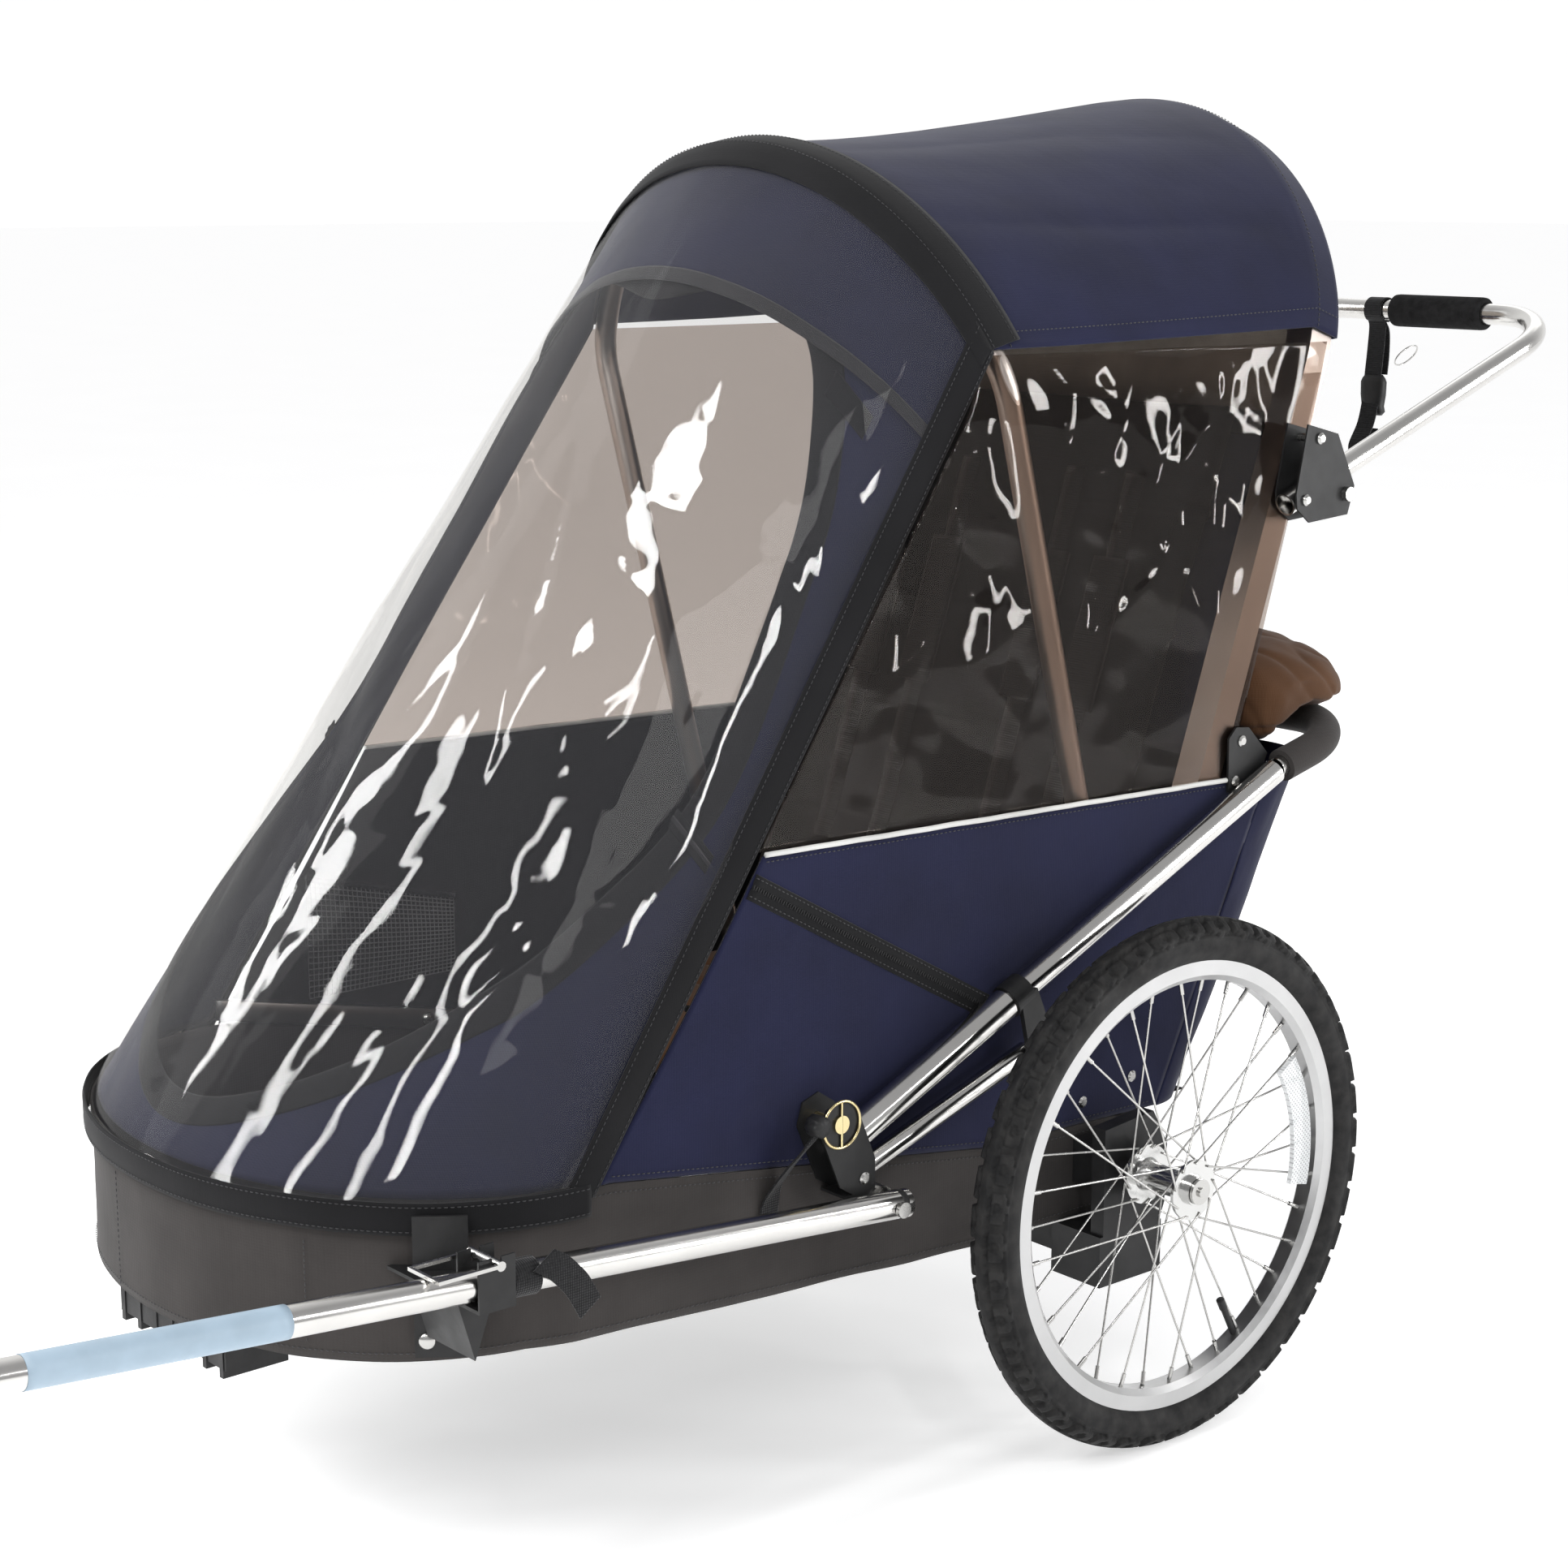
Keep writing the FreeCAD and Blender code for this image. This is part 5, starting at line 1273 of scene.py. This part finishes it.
def bracket_pieces():
    turns = [2 * math.pi * k / 48 for k in range(48)]
    for side, sign in SIDES:
        rings = ((338.6, 6.0), (339.2, 9.0), (343, 9.6), (350, 9.4), (354, 8.0), (355, 3.0))
        rows = [[mm(sign * x, -372, 364) + Vector((0, math.cos(a), math.sin(a))) * (r + 0.5 * math.cos(8 * a)) / 1000
                 for a in turns] for x, r in rings]
        closed(f"bracket_knob_{side}", rows, BLACK_PLASTIC, "root")
        line = [mm(sign * x, y, z) for x, y, z in ((335, -360, 356), (333, -370, 344), (326, -380, 330),
                                                   (316, -388, 312), (309.5, -393, 296), (308.2, -396, 270))]
        strap(f"bracket_strap_{side}", line, (0.0, 0.85, 0.5), 0.024, STRAP_THICK, "root")


def tow_arm_pieces():
    arm_x, slope, skin = middle("tow_arm")[0], math.radians(4.8), 12.95
    along = Vector((0, -math.cos(slope), math.sin(slope)))
    up = Vector((0, math.sin(slope), math.cos(slope)))
    start = Vector((arm_x, mm(0, -295, 0).y, 0.2784))

    def arm(distance, radius, angle):
        """A point round the arm, in millimetres from its rear end and from its middle line."""
        around = Vector((1, 0, 0)) * math.cos(angle) + up * math.sin(angle)
        return start + along * distance / 1000 + around * radius / 1000

    band = [[arm(d, skin, 2 * math.pi * k / 40) for k in range(40)] for d in [600 + 8 * i for i in range(27)]]
    piece("pale_arm_band", band, 0.0003, PALE_BAND, "tow_arm", record_slot="alloy", loop=True)
    rings = ((-17.5, 4), (-17.2, 9), (-16.4, 11.5), (-14, 12.4), (-8, skin), (-4, skin))
    plug = [[arm(d, r, 2 * math.pi * k / 32) for k in range(32)] for d, r in rings]
    closed("arm_end_plug", plug, BLACK_PLASTIC, "tow_arm")
    loop = [arm(392 + 0.4 * k / 28, 14.3, 2 * math.pi * k / 28 + math.radians(90)) for k in range(29)]
    rows = [[p + Vector((0, w, -0.08 * w)) for w in (-0.0125, -0.011, 0.011, 0.0125)] for p in loop]
    piece("saddle_strap_loop", rows, STRAP_THICK, WEBBING, "root")
    tail = mm_all(((369, -672, 326), (371.5, -660, 318), (372, -645, 302), (371.5, -636, 288), (371, -630, 277)))
    strap("saddle_strap_tail", tail, (0, 0.8, 0.55), 0.024, STRAP_THICK, "root")
    centre, out, side = mm(269.4, -715.9, 240), Vector((0.7955, -0.606, 0)), Vector((0.606, 0.7955, 0))
    turns = [a * math.pi / 12 for a in range(24)]
    head = [[centre + (out * x + side * r * math.cos(a) + Vector((0, 0, r * math.sin(a)))) / 1000 for a in turns]
            for x, r in ((-0.3, 7.0), (1.4, 7.0), (2.8, 5.4), (3.6, 2.6), (3.8, 1.0))]
    closed("saddle_bolt_head", head, STEEL, "root", "steel")


def roof_tab():
    flap = mm_all(((-262, 322, 1122), (-268, 330, 1100), (-272, 331, 1080)))
    strap("roof_tab", flap, (0, 1, 0.2), 0.026, 0.002, "rear_frame")


# ------------------------------------------------------------------------------- CAD pieces keep their shape
FINISHES = [
    (SATIN, "rim_left rim_right"),
    (HUB_METAL, "hub_left hub_right"),
    (STEEL, "spokes_left spokes_right axle_shafts axle_button_left axle_button_right hoop_pivots frame_bolts "
            "handle_bolts handle_pin_left handle_pin_right saddle_pin"),
    (PRISM, "reflector_left reflector_right"),
    (BLACK_PAINT, "axle_brackets base_frame brace_clips u_brackets brace_plates handle_plates hitch_eye "
                  "saddle_bracket seat_base"),
    (BLACK_PLASTIC, "floor_board nose_skid hitch_coupler"),
    (PEARL, "front_hoop rear_hoop"),
    (POLISHED, "brace_tubes brace_sleeves brace_links rear_rail tow_arm"),
    (CHROME, "handle_tube"),
    (BRASS, "ring_pin_left ring_pin_right"),
    (CHARCOAL, "rail_sleeve"),
]
EDGED = ("axle_brackets brace_clips u_brackets brace_plates handle_plates hitch_eye saddle_bracket nose_skid "
         "rim_left rim_right").split()


def finishes():
    for material, names in FINISHES:
        for name in names.split():
            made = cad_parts[name]
            if not made.material_slots:
                made.data.materials.append(material)
            for index in range(len(made.material_slots)):
                made.material_slots[index].material = material
    for name in EDGED:
        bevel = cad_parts[name].modifiers.new("Edges", "BEVEL")
        bevel.width = 0.0007
        bevel.segments = 2
        bevel.limit_method = "ANGLE"
        bevel.angle_limit = math.radians(35)


# ------------------------------------------------------------------------------- studio
# Name, place and size in metres, and power in watts.
LAMPS = (("key", (2.4, -2.2, 3.8), (1.2, 1.2), 10), ("fill", (-3.2, -1.6, 2.6), (1.6, 2.2), 6),
         ("strip_a", (-1.5, -2.3, 2.6), (0.20, 1.3), 21), ("strip_b", (-2.3, -1.4, 2.1), (0.20, 1.2), 18),
         ("strip_c", (-0.7, -3.0, 2.3), (0.14, 1.2), 16), ("strip_d", (-0.6, -1.7, 3.3), (0.9, 0.18), 18),
         ("strip_e", (0.4, -2.7, 2.8), (0.16, 1.3), 18), ("strip_f", (3.2, 2.2, 1.3), (0.14, 0.9), 14),
         ("strip_g", (2.5, 3.0, 1.9), (0.14, 0.9), 14), ("strip_h", (1.1, -2.9, 3.0), (0.24, 0.8), 21),
         ("strip_i", (2.8, -1.2, 2.7), (0.16, 0.9), 16), ("strip_j", (3.4, 2.7, 0.7), (0.16, 0.7), 12),
         ("strip_k", (2.7, 3.4, 1.0), (0.12, 0.9), 12), ("strip_l", (3.4, 1.5, 1.9), (0.5, 0.12), 10),
         ("back", (-1.2, 3.4, 3.0), (2.2, 1.4), 8))
LAMP_AIM = Vector((0, 0.1, 0.6))
FLOOR_REACH = 60
CAMERA_PLACE, CAMERA_TILT, CAMERA_TURN, LENS, SENSOR = mm(2127, -1921, 1146), 90 - 11.69, 49.68, 67.5, 36.0
BRIGHT_WAY = (-0.74, 0.63, -0.22)


def backdrop():
    """The white floor, which lights itself a little."""
    floor = bpy.data.meshes.new("floor")
    corners = [(x * FLOOR_REACH, y * FLOOR_REACH, 0) for x, y in ((-1, -1), (1, -1), (1, 1), (-1, 1))]
    floor.from_pydata(corners, [], [(0, 1, 2, 3)])
    ground = placed("floor", floor)
    paper = Material("paper", (0.86, 0.86, 0.86), 0.9, Specular_IOR_Level=0.0,
                     Emission_Color=(1.0, 1.0, 1.0, 1.0), Emission_Strength=0.48)
    paper.tint(paper.noise(2.0, 3), 0.985, 1.01)
    floor.materials.append(paper.material)


def surroundings():
    """A grey world that is white on one side."""
    world = bpy.data.worlds.new("studio")
    world.use_nodes = True
    nodes, links = world.node_tree.nodes, world.node_tree.links
    place = nodes.new("ShaderNodeTexCoord")
    turned = nodes.new("ShaderNodeVectorMath")
    turned.operation = "DOT_PRODUCT"
    turned.inputs[1].default_value = BRIGHT_WAY
    links.new(place.outputs["Generated"], turned.inputs[0])
    ramp = nodes.new("ShaderNodeValToRGB")
    tones = ((0.46, 0.46, 0.465, 1), (1.02, 1.02, 1.02, 1))
    for element, where, tone in zip(ramp.color_ramp.elements, (0.0, 0.62), tones):
        element.position, element.color = where, tone
    links.new(turned.outputs["Value"], ramp.inputs["Fac"])
    links.new(ramp.outputs["Color"], nodes["Background"].inputs["Color"])
    nodes["Background"].inputs["Strength"].default_value = 1.0
    bpy.context.scene.world = world


def lamps_and_camera():
    bpy.context.scene.view_settings.view_transform = "Standard"
    for name, place, size, power in LAMPS:
        data = bpy.data.lights.new(name, "AREA")
        data.shape = "RECTANGLE"
        data.size, data.size_y = size
        data.energy = power
        lamp = placed(name, data)
        lamp.location = place
        lamp.rotation_euler = (LAMP_AIM - Vector(place)).to_track_quat("-Z", "Y").to_euler()
    data = bpy.data.cameras.new("camera")
    data.sensor_width = SENSOR
    data.lens = LENS
    camera = placed("camera", data)
    camera.location = CAMERA_PLACE
    camera.rotation_euler = (math.radians(CAMERA_TILT), 0, math.radians(CAMERA_TURN))
    bpy.context.scene.camera = camera


finishes()
front_panel()
visor()
rain_cover()
cover_tapes()
front_strips()
roof()
rear_panel()
sides()
skirt()
trunk()
trunk_cover()
seat()
for wheel_side, _ in SIDES:
    tyre(wheel_side)
handle_pieces()
bracket_pieces()
tow_arm_pieces()
roof_tab()
backdrop()
surroundings()
lamps_and_camera()
